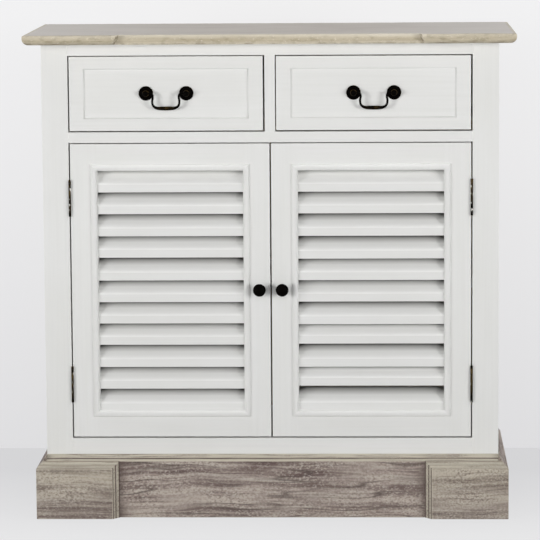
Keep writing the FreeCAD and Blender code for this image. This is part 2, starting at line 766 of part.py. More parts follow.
os.makedirs("parts", exist_ok=True)
for label, piece in nodes.items():
    piece.Shape.exportStep(os.path.join("parts", f"{label}.step"))
    print(f"{label}: {len(piece.Shape.Solids)} solid(s), {piece.Shape.Volume / 1000:.1f} cm3")
print(f"{len(nodes)} sub-parts")
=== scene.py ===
# %% [markdown]
# # Dressing a louvred door cabinet
# The frame that is loaded here holds every board, hinge and screw of a small painted cupboard at
# its real size. This lesson keeps those sizes and gives the cabinet its looks: boards with eased
# edges, moulded beads, worn wood, turned ironwork and the finishes that cover them. Everything is
# in metres, in the cabinet's own frame: z is up, x runs along the front and the front faces -y.

# %% Load the frame
import json
import math

import bmesh
import bpy
from mathutils import Matrix, Vector, noise


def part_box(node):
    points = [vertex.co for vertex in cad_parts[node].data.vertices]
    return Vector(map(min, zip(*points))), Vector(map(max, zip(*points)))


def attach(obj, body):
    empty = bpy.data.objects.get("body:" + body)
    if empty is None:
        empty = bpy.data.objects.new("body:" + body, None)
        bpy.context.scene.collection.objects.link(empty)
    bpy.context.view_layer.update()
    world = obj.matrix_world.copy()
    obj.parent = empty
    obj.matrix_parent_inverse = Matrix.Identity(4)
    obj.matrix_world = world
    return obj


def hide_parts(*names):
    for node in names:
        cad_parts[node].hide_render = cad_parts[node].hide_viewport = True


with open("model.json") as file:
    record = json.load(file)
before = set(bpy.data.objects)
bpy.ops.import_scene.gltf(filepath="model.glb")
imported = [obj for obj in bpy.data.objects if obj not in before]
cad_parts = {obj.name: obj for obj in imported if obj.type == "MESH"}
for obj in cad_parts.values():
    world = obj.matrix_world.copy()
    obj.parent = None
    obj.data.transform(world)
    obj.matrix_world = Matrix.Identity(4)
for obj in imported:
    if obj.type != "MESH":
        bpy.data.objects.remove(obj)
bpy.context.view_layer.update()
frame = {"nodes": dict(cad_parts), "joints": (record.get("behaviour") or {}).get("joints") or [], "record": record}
record = frame["record"]
MM = 0.001
HANDS = {"left": -1, "right": 1}
body_of = {}
for body, members in record["behaviour"]["bodies"].items():
    for node in members:
        body_of[node] = body
slot_of = {part["node"]: part["material_slot"] for part in record["subparts"]}

# %% [markdown]
# ## The camera
# The cabinet was seen from well back with a long lens, a little to its right and from above the
# top. A camera can be turned with three Euler angles, but a product of plain rotations reads in
# the order a photographer works: aim left, tip down, then roll.

# %% Camera
CAMERA_PLACE = Vector((0.1714, -5.1765, 1.0826))
AIM_LEFT, TIP_DOWN, ROLL = (math.radians(angle) for angle in (1.967, 7.598, 0.403))
LENS_MM, SENSOR_MM = 206.6, 36.0
camera = bpy.data.objects.new("camera", bpy.data.cameras.new("camera"))
camera.data.sensor_width = SENSOR_MM
camera.data.lens = LENS_MM
camera.matrix_world = (
    Matrix.Translation(CAMERA_PLACE)
    @ Matrix.Rotation(AIM_LEFT, 4, "Z")
    @ Matrix.Rotation(math.radians(90) - TIP_DOWN, 4, "X")
    @ Matrix.Rotation(-ROLL, 4, "Z")
)
scene = bpy.context.scene
scene.collection.objects.link(camera)
scene.camera = camera
scene.view_settings.view_transform = "Standard"
print(f"camera {-CAMERA_PLACE.y:.2f} m in front of the middle, {LENS_MM} mm lens")

# %% [markdown]
# ## Colours and nodes
# Paint cards and photographs give colours as sRGB hex values, but shaders mix light, which is
# linear, so one function converts them. Another one adds a node, sets its options, fills its inputs
# and gives back one of its outputs. An input takes a plain value or the output of another node.

# %% Colours
def colour(hex_text):
    """A linear colour from an sRGB hex value."""
    linear = []
    for start in (1, 3, 5):
        share = int(hex_text[start:start + 2], 16) / 255
        linear.append(share / 12.92 if share <= 0.04045 else ((share + 0.055) / 1.055) ** 2.4)
    return (*linear, 1.0)


print(f"middle grey on screen is {colour('#808080')[0]:.2f} in linear light")

# %% Nodes
def fill(tree, node, inputs):
    """Fill a node's inputs, in their order or by name, with values or with other nodes' outputs."""
    named = inputs if isinstance(inputs, dict) else dict(enumerate(inputs))
    for socket, value in named.items():
        if isinstance(value, bpy.types.NodeSocket):
            tree.links.new(value, node.inputs[socket])
        else:
            node.inputs[socket].default_value = value


def add(tree, kind, inputs=(), output=0, **options):
    """One output of a new node with its options and inputs."""
    node = tree.nodes.new("ShaderNode" + kind)
    for name, value in options.items():
        setattr(node, name, value)
    fill(tree, node, inputs)
    return node.outputs[output]


def start_finish(name):
    """A new material: its tree, its shader, and a point that differs from board to board."""
    material = bpy.data.materials.new(name)
    material.use_nodes = True
    tree = material.node_tree
    place = add(tree, "TexCoord", (), "Object")
    own = add(tree, "Attribute", (), "Fac", attribute_name="board")
    point = add(tree, "VectorMath", (place, own), operation="ADD")
    return material, tree, tree.nodes["Principled BSDF"], point


print("nodes are ready")

# %% [markdown]
# ## Patterns and layers
# Wood, brushed paint and glaze are all streaks of some length and width, so one function draws noise
# out along a board, with real sizes in millimetres. A finish could be one mixture of colours, but a
# real one is laid on in layers, and a list of layers reads as its maker worked. Each layer has a
# pattern, the two values between which it appears, the most that it covers and its colour; patterns
# that are named after that hold it back. A pattern can also be painted on a mesh, as the later cells
# do for wear and painted highlights, for dirt and painted shade, for ledges and for the top's flat,
# where 1 is a full coat and more is a thick one.

# %% Patterns and layers
SHARE, UNDER, OVER, MIXED = 0, 6, 7, 2
FULLY = (0.0, 1.0, 1.0)
THICKLY = (0.0, 2.0, 2.0)


def streaks(tree, point, along, length, width, detail=3.0):
    """Noise drawn out along one axis, with a length and a width in millimetres."""
    scale = [1 / (width * MM)] * 3
    scale["xyz".index(along)] = 1 / (length * MM)
    drawn = add(tree, "Mapping", {"Vector": point, "Scale": scale})
    return add(tree, "TexNoise", {"Vector": drawn, "Scale": 1.0, "Detail": detail})


def wavy(tree, point, length, height):
    """A point that is carried up and down by a slow noise, with both sizes in millimetres."""
    slow = {"Vector": point, "Scale": 1 / (length * MM), "Detail": 1.0}
    sway = add(tree, "TexNoise", slow, "Color")
    away = add(tree, "VectorMath", (sway, (0.5, 0.5, 0.5)), operation="SUBTRACT")
    lift = add(tree, "VectorMath", (away, (0, 0, 2 * height * MM)), operation="MULTIPLY")
    return add(tree, "VectorMath", (point, lift), operation="ADD")


def layered(tree, under, *layers):
    """Colours laid over one another, each with its pattern, its limits and what holds it back."""
    for pattern, low, high, most, hex_text, *held in layers:
        share = add(tree, "MapRange", (pattern, low, high, 0.0, most))
        for mask in held:
            share = add(tree, "Math", (share, mask), operation="MULTIPLY")
        sockets = {SHARE: share, UNDER: under, OVER: colour(hex_text)}
        under = add(tree, "Mix", sockets, MIXED, data_type="RGBA")
    return under


print("patterns and layers are ready")

# %% [markdown]
# ## Satin white paint
# The carcass, doors and drawers wear an off-white furniture paint, brushed along each board and
# rubbed down by hand. It could be one flat white, but then nothing would show the boards: faint
# brush lines follow the grain, the tone drifts a little over a hand's width, and the sheen is
# uneven. The brush lines are drawn twice as coarse as real ones, so that they survive in a picture.
# Where a mesh marks it, as deep between the slats, the paint is darkened as painted shade; where a
# mesh marks eased arrises and faces that look up, it is lightened as a painted highlight.

# %% Finish: satin white paint
def satin_paint(along):
    """Brushed satin paint on wood, with the brush drawn along one axis."""
    material, tree, shader, point = start_finish(f"satin_white_paint_{along}")
    wear_and_highlight, dirt_and_shade = (add(tree, "Attribute", (), "Fac", attribute_name=name) for name in ("wear_and_highlight", "dirt_and_shade"))
    cloud = streaks(tree, point, along, 160, 70, 2)
    brush = streaks(tree, point, along, 180, 4, 4)
    # The last two layers are painted light: a painted highlight where marked, painted shade deep between the
    # slats.
    coat = layered(
        tree, colour("#e5e5e2"),
        (cloud, 0.3, 0.7, 1.0, "#e8e8e6"),
        (brush, 0.4, 0.75, 0.25, "#dcdcd8"),
        (wear_and_highlight, 0.0, 2.5, 1.0, "#fbfbf9"),
        (dirt_and_shade, 0.42, 0.98, 1.0, "#4a4845"),
    )
    fill(tree, shader, {
        "Base Color": coat,
        "Roughness": add(tree, "MapRange", (cloud, 0.3, 0.7, 0.55, 0.68)),
        "Specular IOR Level": 0.15,
        "Normal": add(tree, "Bump", {"Height": brush, "Distance": 0.025 * MM}),
    })
    return material


paint = {along: satin_paint(along) for along in "xyz"}
print("satin paint along", ", ".join(paint))

# %% [markdown]
# ## Limewashed top
# The top is a pale hardwood board rubbed with lime wax. On the flat the wax lies thick and greys
# the wood, most of all towards the ends; round the edges it was rubbed away, so the warm wood shows
# there, with crumbs of wax in its pores and darker brown patches along the lower edge. The grain runs
# along x, so all its streaks do too. The mesh says where is what: upper on the flat, a painted
# highlight on the upper arris and painted light on the lower round, the dark patches along the lower
# edge, painted shade on the wings, and painted shade with glaze on the returns.

# %% Finish: limewashed wood
def limewashed(along):
    """Pale wood with lime wax in its pores, darker along its lower edge, with painted light and shade."""
    material, tree, shader, point = start_finish(f"limewashed_wood_{along}")
    wear_and_highlight, dirt_and_shade, upper = (
        add(tree, "Attribute", (), "Fac", attribute_name=name) for name in ("wear_and_highlight", "dirt_and_shade", "upper")
    )
    bands = streaks(tree, point, along, 420, 22, 3)
    lines = streaks(tree, point, along, 120, 3.2, 4)
    patches = streaks(tree, point, along, 14, 6, 3)
    crumbs = streaks(tree, point, along, 4, 2.6, 2)
    clouds = streaks(tree, point, along, 120, 90, 2)
    place = add(tree, "TexCoord", (), "Object")
    sideways = add(tree, "SeparateXYZ", (place,), "X")
    away = add(tree, "Math", (sideways,), operation="ABSOLUTE")
    cloudy = add(tree, "MapRange", (clouds, 0.35, 0.65, 0.7, 0.9))
    patchy = add(tree, "MapRange", (patches, 0.38, 0.62, 0.15, 0.9))
    # The edge's last two layers: painted light where the mesh marks it, and dark patches with painted shade.
    edge = layered(
        tree, colour("#aca188"),
        (bands, 0.3, 0.7, 1.0, "#bdb29b"),
        (lines, 0.42, 0.68, 0.6, "#cdc3ac"),
        (patches, 0.52, 0.68, 0.5, "#90846a"),
        (crumbs, 0.6, 0.72, 0.6, "#ddd5c3"),
        (wear_and_highlight, *THICKLY, "#dfd7c6", cloudy),
        (dirt_and_shade, *THICKLY, "#6d6149", patchy),
    )
    flat = layered(
        tree, colour("#b3aba3"),
        (bands, 0.3, 0.7, 1.0, "#bfb7af"),
        (clouds, 0.35, 0.65, 0.5, "#cfc8c1"),
        (lines, 0.42, 0.7, 0.5, "#d0cac2"),
        (away, 0.15, 0.4, 0.6, "#dcd7d2"),
    )
    whole = add(tree, "Mix", {SHARE: upper, UNDER: edge, OVER: flat}, MIXED, data_type="RGBA")
    fill(tree, shader, {
        "Base Color": whole,
        "Roughness": add(tree, "MapRange", (lines, 0.3, 0.7, 0.55, 0.7)),
        "Normal": add(tree, "Bump", {"Height": lines, "Distance": 0.12 * MM}),
    })
    return material


top_finish = limewashed("x")
print("limewashed wood for the top")

# %% [markdown]
# ## Weathered plinth
# The plinth is softwood, stained brown, painted over with a grey-beige paint that was dragged with
# a dry brush while it was wet. The result lies in strata that sway like grain: mauve-brown where
# the stain shows, beige where paint stayed. Thin dark veins follow them, a pebbled crust of dried
# paint covers all, and edges are rubbed pale. Faces that look up are painted paler, as wear and as a
# painted highlight; inner corners are darker, as glaze and painted shade, and so is the front beside
# the blocks, as painted shade. A vein is drawn where a slow noise crosses its middle value, which
# gives lines that never end bluntly. The corner blocks came out paler than the boards, and every
# board grows paler or darker towards the floor.

# %% Thin veins
VEIN_WIDTH = 0.03


def ridge(tree, value, width):
    """1 where a noise crosses its middle value, falling to 0 within a width to either side."""
    rising = add(tree, "MapRange", (value, 0.5 - width, 0.5))
    falling = add(tree, "MapRange", (value, 0.5, 0.5 + width, 1.0, 0.0))
    return add(tree, "Math", (rising, falling), operation="MULTIPLY")


print(f"veins fade within {VEIN_WIDTH} of a noise's middle value")

# %% Finish: weathered wood
TONE_FOOT, TONE_HEAD, TONE_SHARE = 20 * MM, 75 * MM, 0.4


def weathered(name, along, deep, pale, low, high, scoring, veining):
    """Stained softwood under dragged paint, from deep to pale, toned from low to high."""
    material, tree, shader, point = start_finish(f"weathered_{name}_{along}")
    wear_and_highlight, ledge, dirt_and_shade = (
        add(tree, "Attribute", (), "Fac", attribute_name=name) for name in ("wear_and_highlight", "ledge", "dirt_and_shade")
    )
    place = add(tree, "TexCoord", (), "Object")
    height = add(tree, "SeparateXYZ", (place,), "Z")
    swaying = wavy(tree, point, 120, 9)
    strata = streaks(tree, swaying, along, 240, 12, 3)
    veins = streaks(tree, swaying, along, 260, 22, 2)
    strokes = streaks(tree, swaying, along, 110, 3.6, 4)
    grain = streaks(tree, swaying, along, 3.6, 2.5, 2)
    crust = streaks(tree, point, along, 70, 30, 1)
    zones = add(tree, "MapRange", (streaks(tree, point, along, 130, 45, 1), 0.3, 0.7, -0.16, 0.16))
    laid = add(tree, "Math", (strata, zones), operation="ADD")
    stain = layered(tree, colour(deep), (laid, 0.38, 0.6, 1.0, pale))
    tone = layered(tree, colour(low), (height, TONE_FOOT, TONE_HEAD, 1.0, high))
    sockets = {SHARE: TONE_SHARE, UNDER: stain, OVER: tone}
    toned = add(tree, "Mix", sockets, MIXED, data_type="RGBA")
    crusty = add(tree, "MapRange", (crust, 0.35, 0.65, 0.25, 0.6))
    fading = add(tree, "MapRange", (crust, 0.4, 0.6, 0.4 * veining, veining))
    ledge_breakup = add(tree, "MapRange", (strokes, 0.38, 0.56, 0.35, 0.95))
    broken = add(tree, "MapRange", (strokes, 0.34, 0.56, 0.35, 1.0))
    # The last three layers come from the mesh: rubbed edges, faces that look up painted paler as wear and painted
    # highlight, and dark strips of glaze and painted shade.
    coat = layered(
        tree, toned,
        (strokes, 0.5, 0.66, 0.55, "#beb5a9"),
        (strokes, 0.47, 0.3, scoring, "#5c4a45"),
        (grain, 0.5, 0.3, 1.0, "#523f3a", crusty),
        (grain, 0.52, 0.72, 1.0, "#cfc8bc", crusty),
        (ridge(tree, veins, VEIN_WIDTH), *FULLY, "#51443f", fading),
        (wear_and_highlight, 0.0, 1.0, 0.6, "#bdb5a3"),
        (ledge, *FULLY, "#cac3b2", ledge_breakup),
        (dirt_and_shade, *THICKLY, "#5a4a44", broken),
    )
    rough = add(tree, "Math", (grain, strata), operation="ADD")
    fill(tree, shader, {
        "Base Color": coat,
        "Roughness": add(tree, "MapRange", (strata, 0.3, 0.7, 0.62, 0.8)),
        "Normal": add(tree, "Bump", {"Height": rough, "Distance": 0.6 * MM}),
    })
    return material


print(f"tones change between {TONE_FOOT / MM:.0f} and {TONE_HEAD / MM:.0f} mm above the floor")

# %% Weathered boards and blocks
BOARD_TONES = ("#5a4845", "#bdb1a6", "#a89a91", "#76645f", 0.55, 0.9)
BLOCK_TONES = ("#6d5f58", "#c1b7a9", "#877a72", "#aea591", 0.5, 0.3)
board_finish = {along: weathered("board", along, *BOARD_TONES) for along in "xy"}
block_finish = weathered("block", "x", *BLOCK_TONES)
print("weathered wood for the plinth")

# %% [markdown]
# ## Bare wood and plywood
# Drawer boxes, runners and cleats are planed softwood that nobody painted, and the back panel and
# drawer bottoms are thin sanded plywood. Both are pale with orange-brown late wood; the plywood's
# veneer was peeled from the log, so its figure is broader and softer.

# %% Finish: bare softwood and plywood
def bare_wood(name, along, pale, late, ring, share):
    """Unfinished wood with late-wood lines a ring width in millimetres apart."""
    material, tree, shader, point = start_finish(f"{name}_{along}")
    rings = streaks(tree, point, along, 40 * ring, ring, 3)
    fibre = streaks(tree, point, along, 30, 1.4, 3)
    wood = layered(
        tree, colour(pale),
        (rings, 0.4, 0.66, share, late),
        (fibre, 0.5, 0.75, 0.3, "#a98a62"),
    )
    fill(tree, shader, {
        "Base Color": wood,
        "Roughness": add(tree, "MapRange", (fibre, 0.3, 0.7, 0.6, 0.75)),
        "Normal": add(tree, "Bump", {"Height": fibre, "Distance": 0.05 * MM}),
    })
    return material


softwood = {along: bare_wood("planed_softwood", along, "#d8bd93", "#b98f5d", 6, 0.8) for along in "xyz"}
plywood = {along: bare_wood("sanded_plywood", along, "#d3b88f", "#bd9a6c", 22, 0.6) for along in "xz"}
print("bare woods ready")

# %% [markdown]
# ## Ironwork
# Knobs, pulls and hinges are cast and drawn iron with a matt black lacquer. It is nearly black, but
# fingers have rubbed rims and grips back to brown bronze. The hinges were brushed over with the
# cabinet's paint and wiped: they are mottled with bronze, most of all towards their heads, and a few
# dabs of white are left. A remainder of the height, at the hinges' spacing, tells head from foot.

# %% Finish: blackened iron
def lacquered(tree, shader, point, shown, *over):
    """Black lacquer with bronze where shown says, and with further layers over it."""
    patina = streaks(tree, point, "z", 5, 4, 3)
    coat = layered(
        tree, colour("#020101"),
        (patina, *FULLY, "#080604"),
        (shown, *FULLY, "#6a5530"),
        *over,
    )
    fill(tree, shader, {
        "Base Color": coat,
        "Metallic": add(tree, "MapRange", (shown, 0.0, 1.0, 0.0, 0.5)),
        "Roughness": add(tree, "MapRange", (patina, 0.3, 0.7, 0.38, 0.52)),
        "Specular IOR Level": 0.015,
        "Normal": add(tree, "Bump", {"Height": patina, "Distance": 0.06 * MM}),
    })


def blackened_iron():
    """Black lacquered iron whose rims are rubbed to bronze."""
    material, tree, shader, point = start_finish("blackened_iron")
    wear_and_highlight = add(tree, "Attribute", (), "Fac", attribute_name="wear_and_highlight")
    worn = add(tree, "MapRange", (streaks(tree, point, "z", 6, 5, 3), 0.4, 0.7, 0.0, 0.45))
    lacquered(tree, shader, point, add(tree, "Math", (wear_and_highlight, worn), operation="MULTIPLY"))
    return material


iron = blackened_iron()
print("blackened iron for knobs and pulls")

# %% Finish: painted over iron
HINGE_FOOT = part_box("hinge_pins")[0].z
HINGE_SPACING, HINGE_LENGTH = 309 * MM, 60 * MM


def hinge_iron():
    """Black lacquered hinges, mottled with bronze towards the head, with a few white dabs."""
    material, tree, shader, point = start_finish("painted_over_iron")
    place = add(tree, "TexCoord", (), "Object")
    height = add(tree, "SeparateXYZ", (place,), "Z")
    above = add(tree, "Math", (height, HINGE_FOOT), operation="SUBTRACT")
    rise = add(tree, "Math", (above, HINGE_SPACING), operation="MODULO")
    ragged = wavy(tree, place, 5, 3)
    mottle = add(tree, "MapRange", (streaks(tree, ragged, "z", 8, 3, 3), 0.42, 0.56))
    upper = add(tree, "MapRange", (rise, 0.1 * HINGE_LENGTH, 0.9 * HINGE_LENGTH, 0.1, 0.5))
    bronze = add(tree, "Math", (upper, mottle), operation="MULTIPLY")
    dabs = streaks(tree, ragged, "z", 9, 6, 1)
    lacquered(tree, shader, point, bronze, (dabs, 0.63, 0.66, 1.0, "#e2e0da"))
    return material


wiped_iron = hinge_iron()
print(f"painted over iron for hinges {HINGE_LENGTH / MM:.0f} mm long")

# %% [markdown]
# ## Small metal and plastic
# Screws are zinc plated, shelf pins and strike plates are nickel plated, and the magnetic catches
# have off-white moulded cases. They are small and mostly hidden, so each gets a fine surface
# pattern and little else.

# %% Finish: plated steel and moulded plastic
def plated(name, pale, dull, roughness):
    """Plated steel with faint rolling lines and dull spots."""
    material, tree, shader, point = start_finish(name)
    lines = streaks(tree, point, "z", 12, 0.8, 2)
    spots = streaks(tree, point, "z", 3, 3, 2)
    fill(tree, shader, {
        "Base Color": layered(tree, colour(pale), (spots, 0.4, 0.7, 1.0, dull)),
        "Metallic": 1.0,
        "Roughness": add(tree, "MapRange", (lines, 0.3, 0.7, roughness, roughness + 0.15)),
    })
    return material


def moulded_plastic():
    """Off-white moulded plastic with a spark-eroded grain."""
    material, tree, shader, point = start_finish("moulded_plastic")
    grit = streaks(tree, point, "z", 0.8, 0.8, 2)
    fill(tree, shader, {
        "Base Color": layered(tree, colour("#d8d5cb"), (grit, *FULLY, "#e2dfd6")),
        "Roughness": 0.5,
        "Normal": add(tree, "Bump", {"Height": grit, "Distance": 0.03 * MM}),
    })
    return material


zinc = plated("zinc_plated_steel", "#b9b7b0", "#94928b", 0.34)
nickel = plated("nickel_plated_steel", "#c4c0b8", "#a9a59c", 0.22)
case_plastic = moulded_plastic()
print("metal and plastic ready")

# %% [markdown]
# ## Turning a shape into a piece
# Every piece below is shaped in a bmesh and then handed to one function. It names the piece after
# its node, lets it ride on that node's body, gives it its finish and hides the plain solid. Each
# piece also carries its own number, painted on as board, so that no two boards share their grain.

# %% Hand a shape over as a piece
SQUARE = math.radians(60)
GRAIN_STEP = 0.173
made = []


def hand_over(bm, name, nodes, material, flat=True):
    """Turn a bmesh into a piece that stands for its nodes; flat pieces keep flat faces flat."""
    for face in bm.faces:
        face.smooth = True
    for edge in bm.edges:
        edge.smooth = edge.calc_face_angle(0) < SQUARE
    mesh = bpy.data.meshes.new(name)
    bm.to_mesh(mesh)
    bm.free()
    mesh.materials.append(material)
    number = mesh.attributes.new("board", "FLOAT", "POINT")
    number.data.foreach_set("value", [GRAIN_STEP * (len(made) + 1)] * len(mesh.vertices))
    piece = bpy.data.objects.new(name, mesh)
    scene.collection.objects.link(piece)
    if flat:
        piece.modifiers.new("flat faces", "WEIGHTED_NORMAL").keep_sharp = True
    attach(piece, body_of[nodes[0]])
    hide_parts(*nodes)
    made.append(piece)
    return piece


print("pieces can be handed over")

# %% [markdown]
# ## Boards
# A plain cube would do for a board, but no real board has edges that sharp: hands, sandpaper and
# paint ease them, and the eased edge catches the light. So a cube is drawn to the board's corners
# and its edges get a small round bevel, which is marked to be painted lighter: a painted highlight on
# white paint, rubbed wear on the plinth. Boards that meet flush stay square where they meet.

# %% Boards with eased edges
BOARD_EASE = 0.9 * MM
HAIR, TOUCH = 0.01 * MM, 0.1 * MM


def eased(bm, edges, width, segments=3):
    """Ease edges by a width, and mark what was eased to be painted lighter: a highlight on white paint, wear on
    the plinth.
    """
    result = bmesh.ops.bevel(bm, geom=edges, offset=width, affect="EDGES", segments=segments,
                             profile=0.5, material=-1)
    wear_and_highlight = bm.loops.layers.float.get("wear_and_highlight") or bm.loops.layers.float.new("wear_and_highlight")
    for face in result["faces"]:
        for loop in face.loops:
            loop[wear_and_highlight] = 1.0
    return bm


def square_board(low, high):
    """A board with square edges between two corners."""
    bm = bmesh.new()
    bmesh.ops.create_cube(bm, size=1.0)
    bmesh.ops.scale(bm, vec=high - low, verts=bm.verts)
    bmesh.ops.translate(bm, vec=(low + high) / 2, verts=bm.verts)
    return bm


def board(low, high, ease=BOARD_EASE, flush=()):
    """A board whose edges are eased, except at the places along x where it runs on flush."""
    bm = square_board(low, high)
    edges = []
    for edge in bm.edges:
        ends = [vert.co.x for vert in edge.verts]
        if not any(abs(ends[0] - x) + abs(ends[1] - x) < HAIR for x in flush):
            edges.append(edge)
    return eased(bm, edges, ease)


print(f"boards are eased by {BOARD_EASE / MM} mm unless told otherwise")

# %% [markdown]
# ## Cuts and copies
# Some pieces start from the solid itself, because its profile is already right. A solid's mesh is
# loose triangles, so a copy of it has its doubles merged and its flat neighbours dissolved, and only
# then can a bevel follow its corners. A cut across the whole shape adds the points that later moves
# need.

# %% Cuts and copies
SEAM, FLAT = 0.005 * MM, math.radians(1)
FOLD = 0.3


def cut(bm, point, axis):
    """Cut all of a shape across an axis at a point."""
    across = Vector([float(axis == name) for name in "xyz"])
    whole = bm.verts[:] + bm.edges[:] + bm.faces[:]
    bmesh.ops.bisect_plane(bm, geom=whole, plane_co=point, plane_no=across)


def grown(box, left=0.0, right=0.0, down=0.0, up=0.0):
    """A box that is larger by some millimetres on the four sides of its front."""
    return box[0] - Vector((left, 0, down)) * MM, box[1] + Vector((right, 0, up)) * MM


def merged_copy(node):
    """A copy of a node's mesh, with its loose triangles joined into flat faces."""
    bm = bmesh.new()
    bm.from_mesh(frame["nodes"][node].data)
    bmesh.ops.remove_doubles(bm, verts=bm.verts, dist=SEAM)
    bmesh.ops.dissolve_limit(bm, angle_limit=FLAT, verts=bm.verts, edges=bm.edges)
    return bm


def corners(bm):
    """The edges of a merged copy where the surface turns outwards."""
    return [edge for edge in bm.edges if edge.is_convex and edge.calc_face_angle(0) > FOLD]


print(f"a fold of {math.degrees(FOLD):.0f} degrees counts as a corner")

# %% [markdown]
# ## Face frame and carcass
# Stiles, rails, sides and shelf are plain boards. A copy of each solid would carry its mortises
# and screw holes, which nobody sees once the cabinet is together, so each board is drawn afresh
# from its node's own box. The eased edges leave a fine line wherever two boards meet, except at the
# mullion between the drawers, whose joints were filled, so it runs on a little at both ends.

# %% Boards of the carcass
CARCASS_BOARDS = {
    "left_stile": paint["z"], "right_stile": paint["z"], "top_rail": paint["x"],
    "middle_rail": paint["x"], "bottom_rail": paint["x"], "left_side": paint["z"],
    "right_side": paint["z"], "shelf": paint["x"], "floor_panel": paint["x"],
    "back_panel": plywood["z"], "rear_rail": softwood["x"], "plinth_back": softwood["x"],
}
FRAME_EASE, BOX_EASE = 0.5 * MM, 0.8 * MM
for node, finish in CARCASS_BOARDS.items():
    hand_over(board(*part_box(node), FRAME_EASE), f"{node}_board", [node], finish)
low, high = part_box("drawer_mullion")
filler = Vector((0, 0, FRAME_EASE))
mullion = board(low - filler, high + filler, FRAME_EASE)
hand_over(mullion, "drawer_mullion_board", ["drawer_mullion"], paint["z"])
bm = merged_copy("drawer_runners")
hand_over(eased(bm, corners(bm), BOX_EASE), "drawer_runners_boards", ["drawer_runners"], softwood["y"])
print(f"{len(made)} carcass boards")

# %% [markdown]
# ## Door frames
# Each door is two stiles and two rails. The rails' solids include the tenons inside the stiles, so
# the visible rails are drawn from one stile's inner edge to the other's. The joints were filled
# and painted over, so stiles and rails stay square there and only the brush lines change. Paint on
# the hinge edges and the head makes the gaps there a little narrower, by fractions of a millimetre.

# %% The louvred openings
def door_window(hand):
    """The corners of the louvred opening, on the door's front and back planes."""
    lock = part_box(f"{hand}_door_lock_stile")
    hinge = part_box(f"{hand}_door_hinge_stile")
    inner = sorted((lock[0].x, lock[1].x, hinge[0].x, hinge[1].x))[1:3]
    low = Vector((inner[0], lock[0].y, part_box(f"{hand}_door_bottom_rail")[1].z))
    high = Vector((inner[1], lock[1].y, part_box(f"{hand}_door_top_rail")[0].z))
    return low, high


low, high = door_window("left")
print(f"louvred opening {(high.x - low.x) / MM:.0f} by {(high.z - low.z) / MM:.0f} mm")

# %% Stiles and rails of the doors
DOOR_EASE = 0.9 * MM
EDGE_PAINT, HEAD_PAINT = {"lock_stile": 0.0, "hinge_stile": 0.25}, 0.8
for hand in HANDS:
    low, high = door_window(hand)
    inner = (low.x, high.x)
    for part in ("lock_stile", "hinge_stile"):
        node = f"{hand}_door_{part}"
        foot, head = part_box(node)
        outer = "left" if foot.x < low.x - MM else "right"
        full = grown((foot, head), up=HEAD_PAINT, **{outer: EDGE_PAINT[part]})
        hand_over(board(*full, DOOR_EASE, inner), f"{node}_board", [node], paint["z"])
    for part in ("bottom_rail", "top_rail"):
        node = f"{hand}_door_{part}"
        foot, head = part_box(node)
        foot.x, head.x = inner
        full = grown((foot, head), up=HEAD_PAINT if part == "top_rail" else 0.0)
        hand_over(board(*full, DOOR_EASE, inner), f"{node}_board", [node], paint["x"])
print(f"{len(made)} pieces with the door frames")

# %% [markdown]
# ## Louvre slats
# Eleven slats climb from front to back at 45 degrees, with their front edges planed plumb. A
# slat is a box that is sheared, which keeps its front upright. Paint fills and rounds its front
# corners. The slats were set by eye, so each sits up to a few millimetres off even spacing, and the
# lowest runs into the rail. Their upper sides are painted darker from front to back, and darker
# still at the ends, as painted shade of the slat above and of the stiles; the top slat gets less.
# A painted highlight lies along the front of each upper side.

# %% One slat
SLAT_CORNER = 1.7 * MM
SHADED_END, CORNER_SHADE = 15 * MM, 1.28
THIN_SHADE, SHADE_RISE, HIGHLIGHT_DEPTH = 0.4, 1.6, 12 * MM
FACING = 0.9


def slat(low, high, climb, slope_shade):
    """An eased board, sheared so that its back is higher by a climb, with painted shade and a painted highlight on
    its upper side.
    """
    bm = board(low, high, SLAT_CORNER)
    for x in (low.x + SHADED_END, high.x - SHADED_END):
        cut(bm, (x, 0, 0), "x")
    for depth in (THIN_SHADE / SHADE_RISE, THIN_SHADE):
        cut(bm, (0, low.y + depth * (high.y - low.y), 0), "y")
    wear_and_highlight = bm.loops.layers.float["wear_and_highlight"]
    dirt_and_shade = bm.loops.layers.float.new("dirt_and_shade")
    # Painted shade grows towards the back and at the ends; a painted highlight lies along the front.
    for face in bm.faces:
        if face.normal.z > FACING:
            for loop in face.loops:
                place = loop.vert.co
                depth = (place.y - low.y) / (high.y - low.y)
                at_end = place.x < low.x + SHADED_END - MM or place.x > high.x - SHADED_END + MM
                share = max(depth, min(SHADE_RISE * depth, THIN_SHADE))
                loop[dirt_and_shade] = slope_shade * share * (CORNER_SHADE if at_end else 1.0)
                loop[wear_and_highlight] = max(0.0, 1 - (place.y - low.y) / HIGHLIGHT_DEPTH)
    for vert in bm.verts:
        vert.co.z += climb * (vert.co.y - low.y) / (high.y - low.y)
    return bm


def gathered(shapes):
    """Several bmeshes joined into the first."""
    whole = shapes[0]
    for shape in shapes[1:]:
        part = bpy.data.meshes.new("part")
        shape.to_mesh(part)
        shape.free()
        whole.from_mesh(part)
        bpy.data.meshes.remove(part)
    return whole


print(f"a slat's front corners are rounded by {SLAT_CORNER / MM} mm")

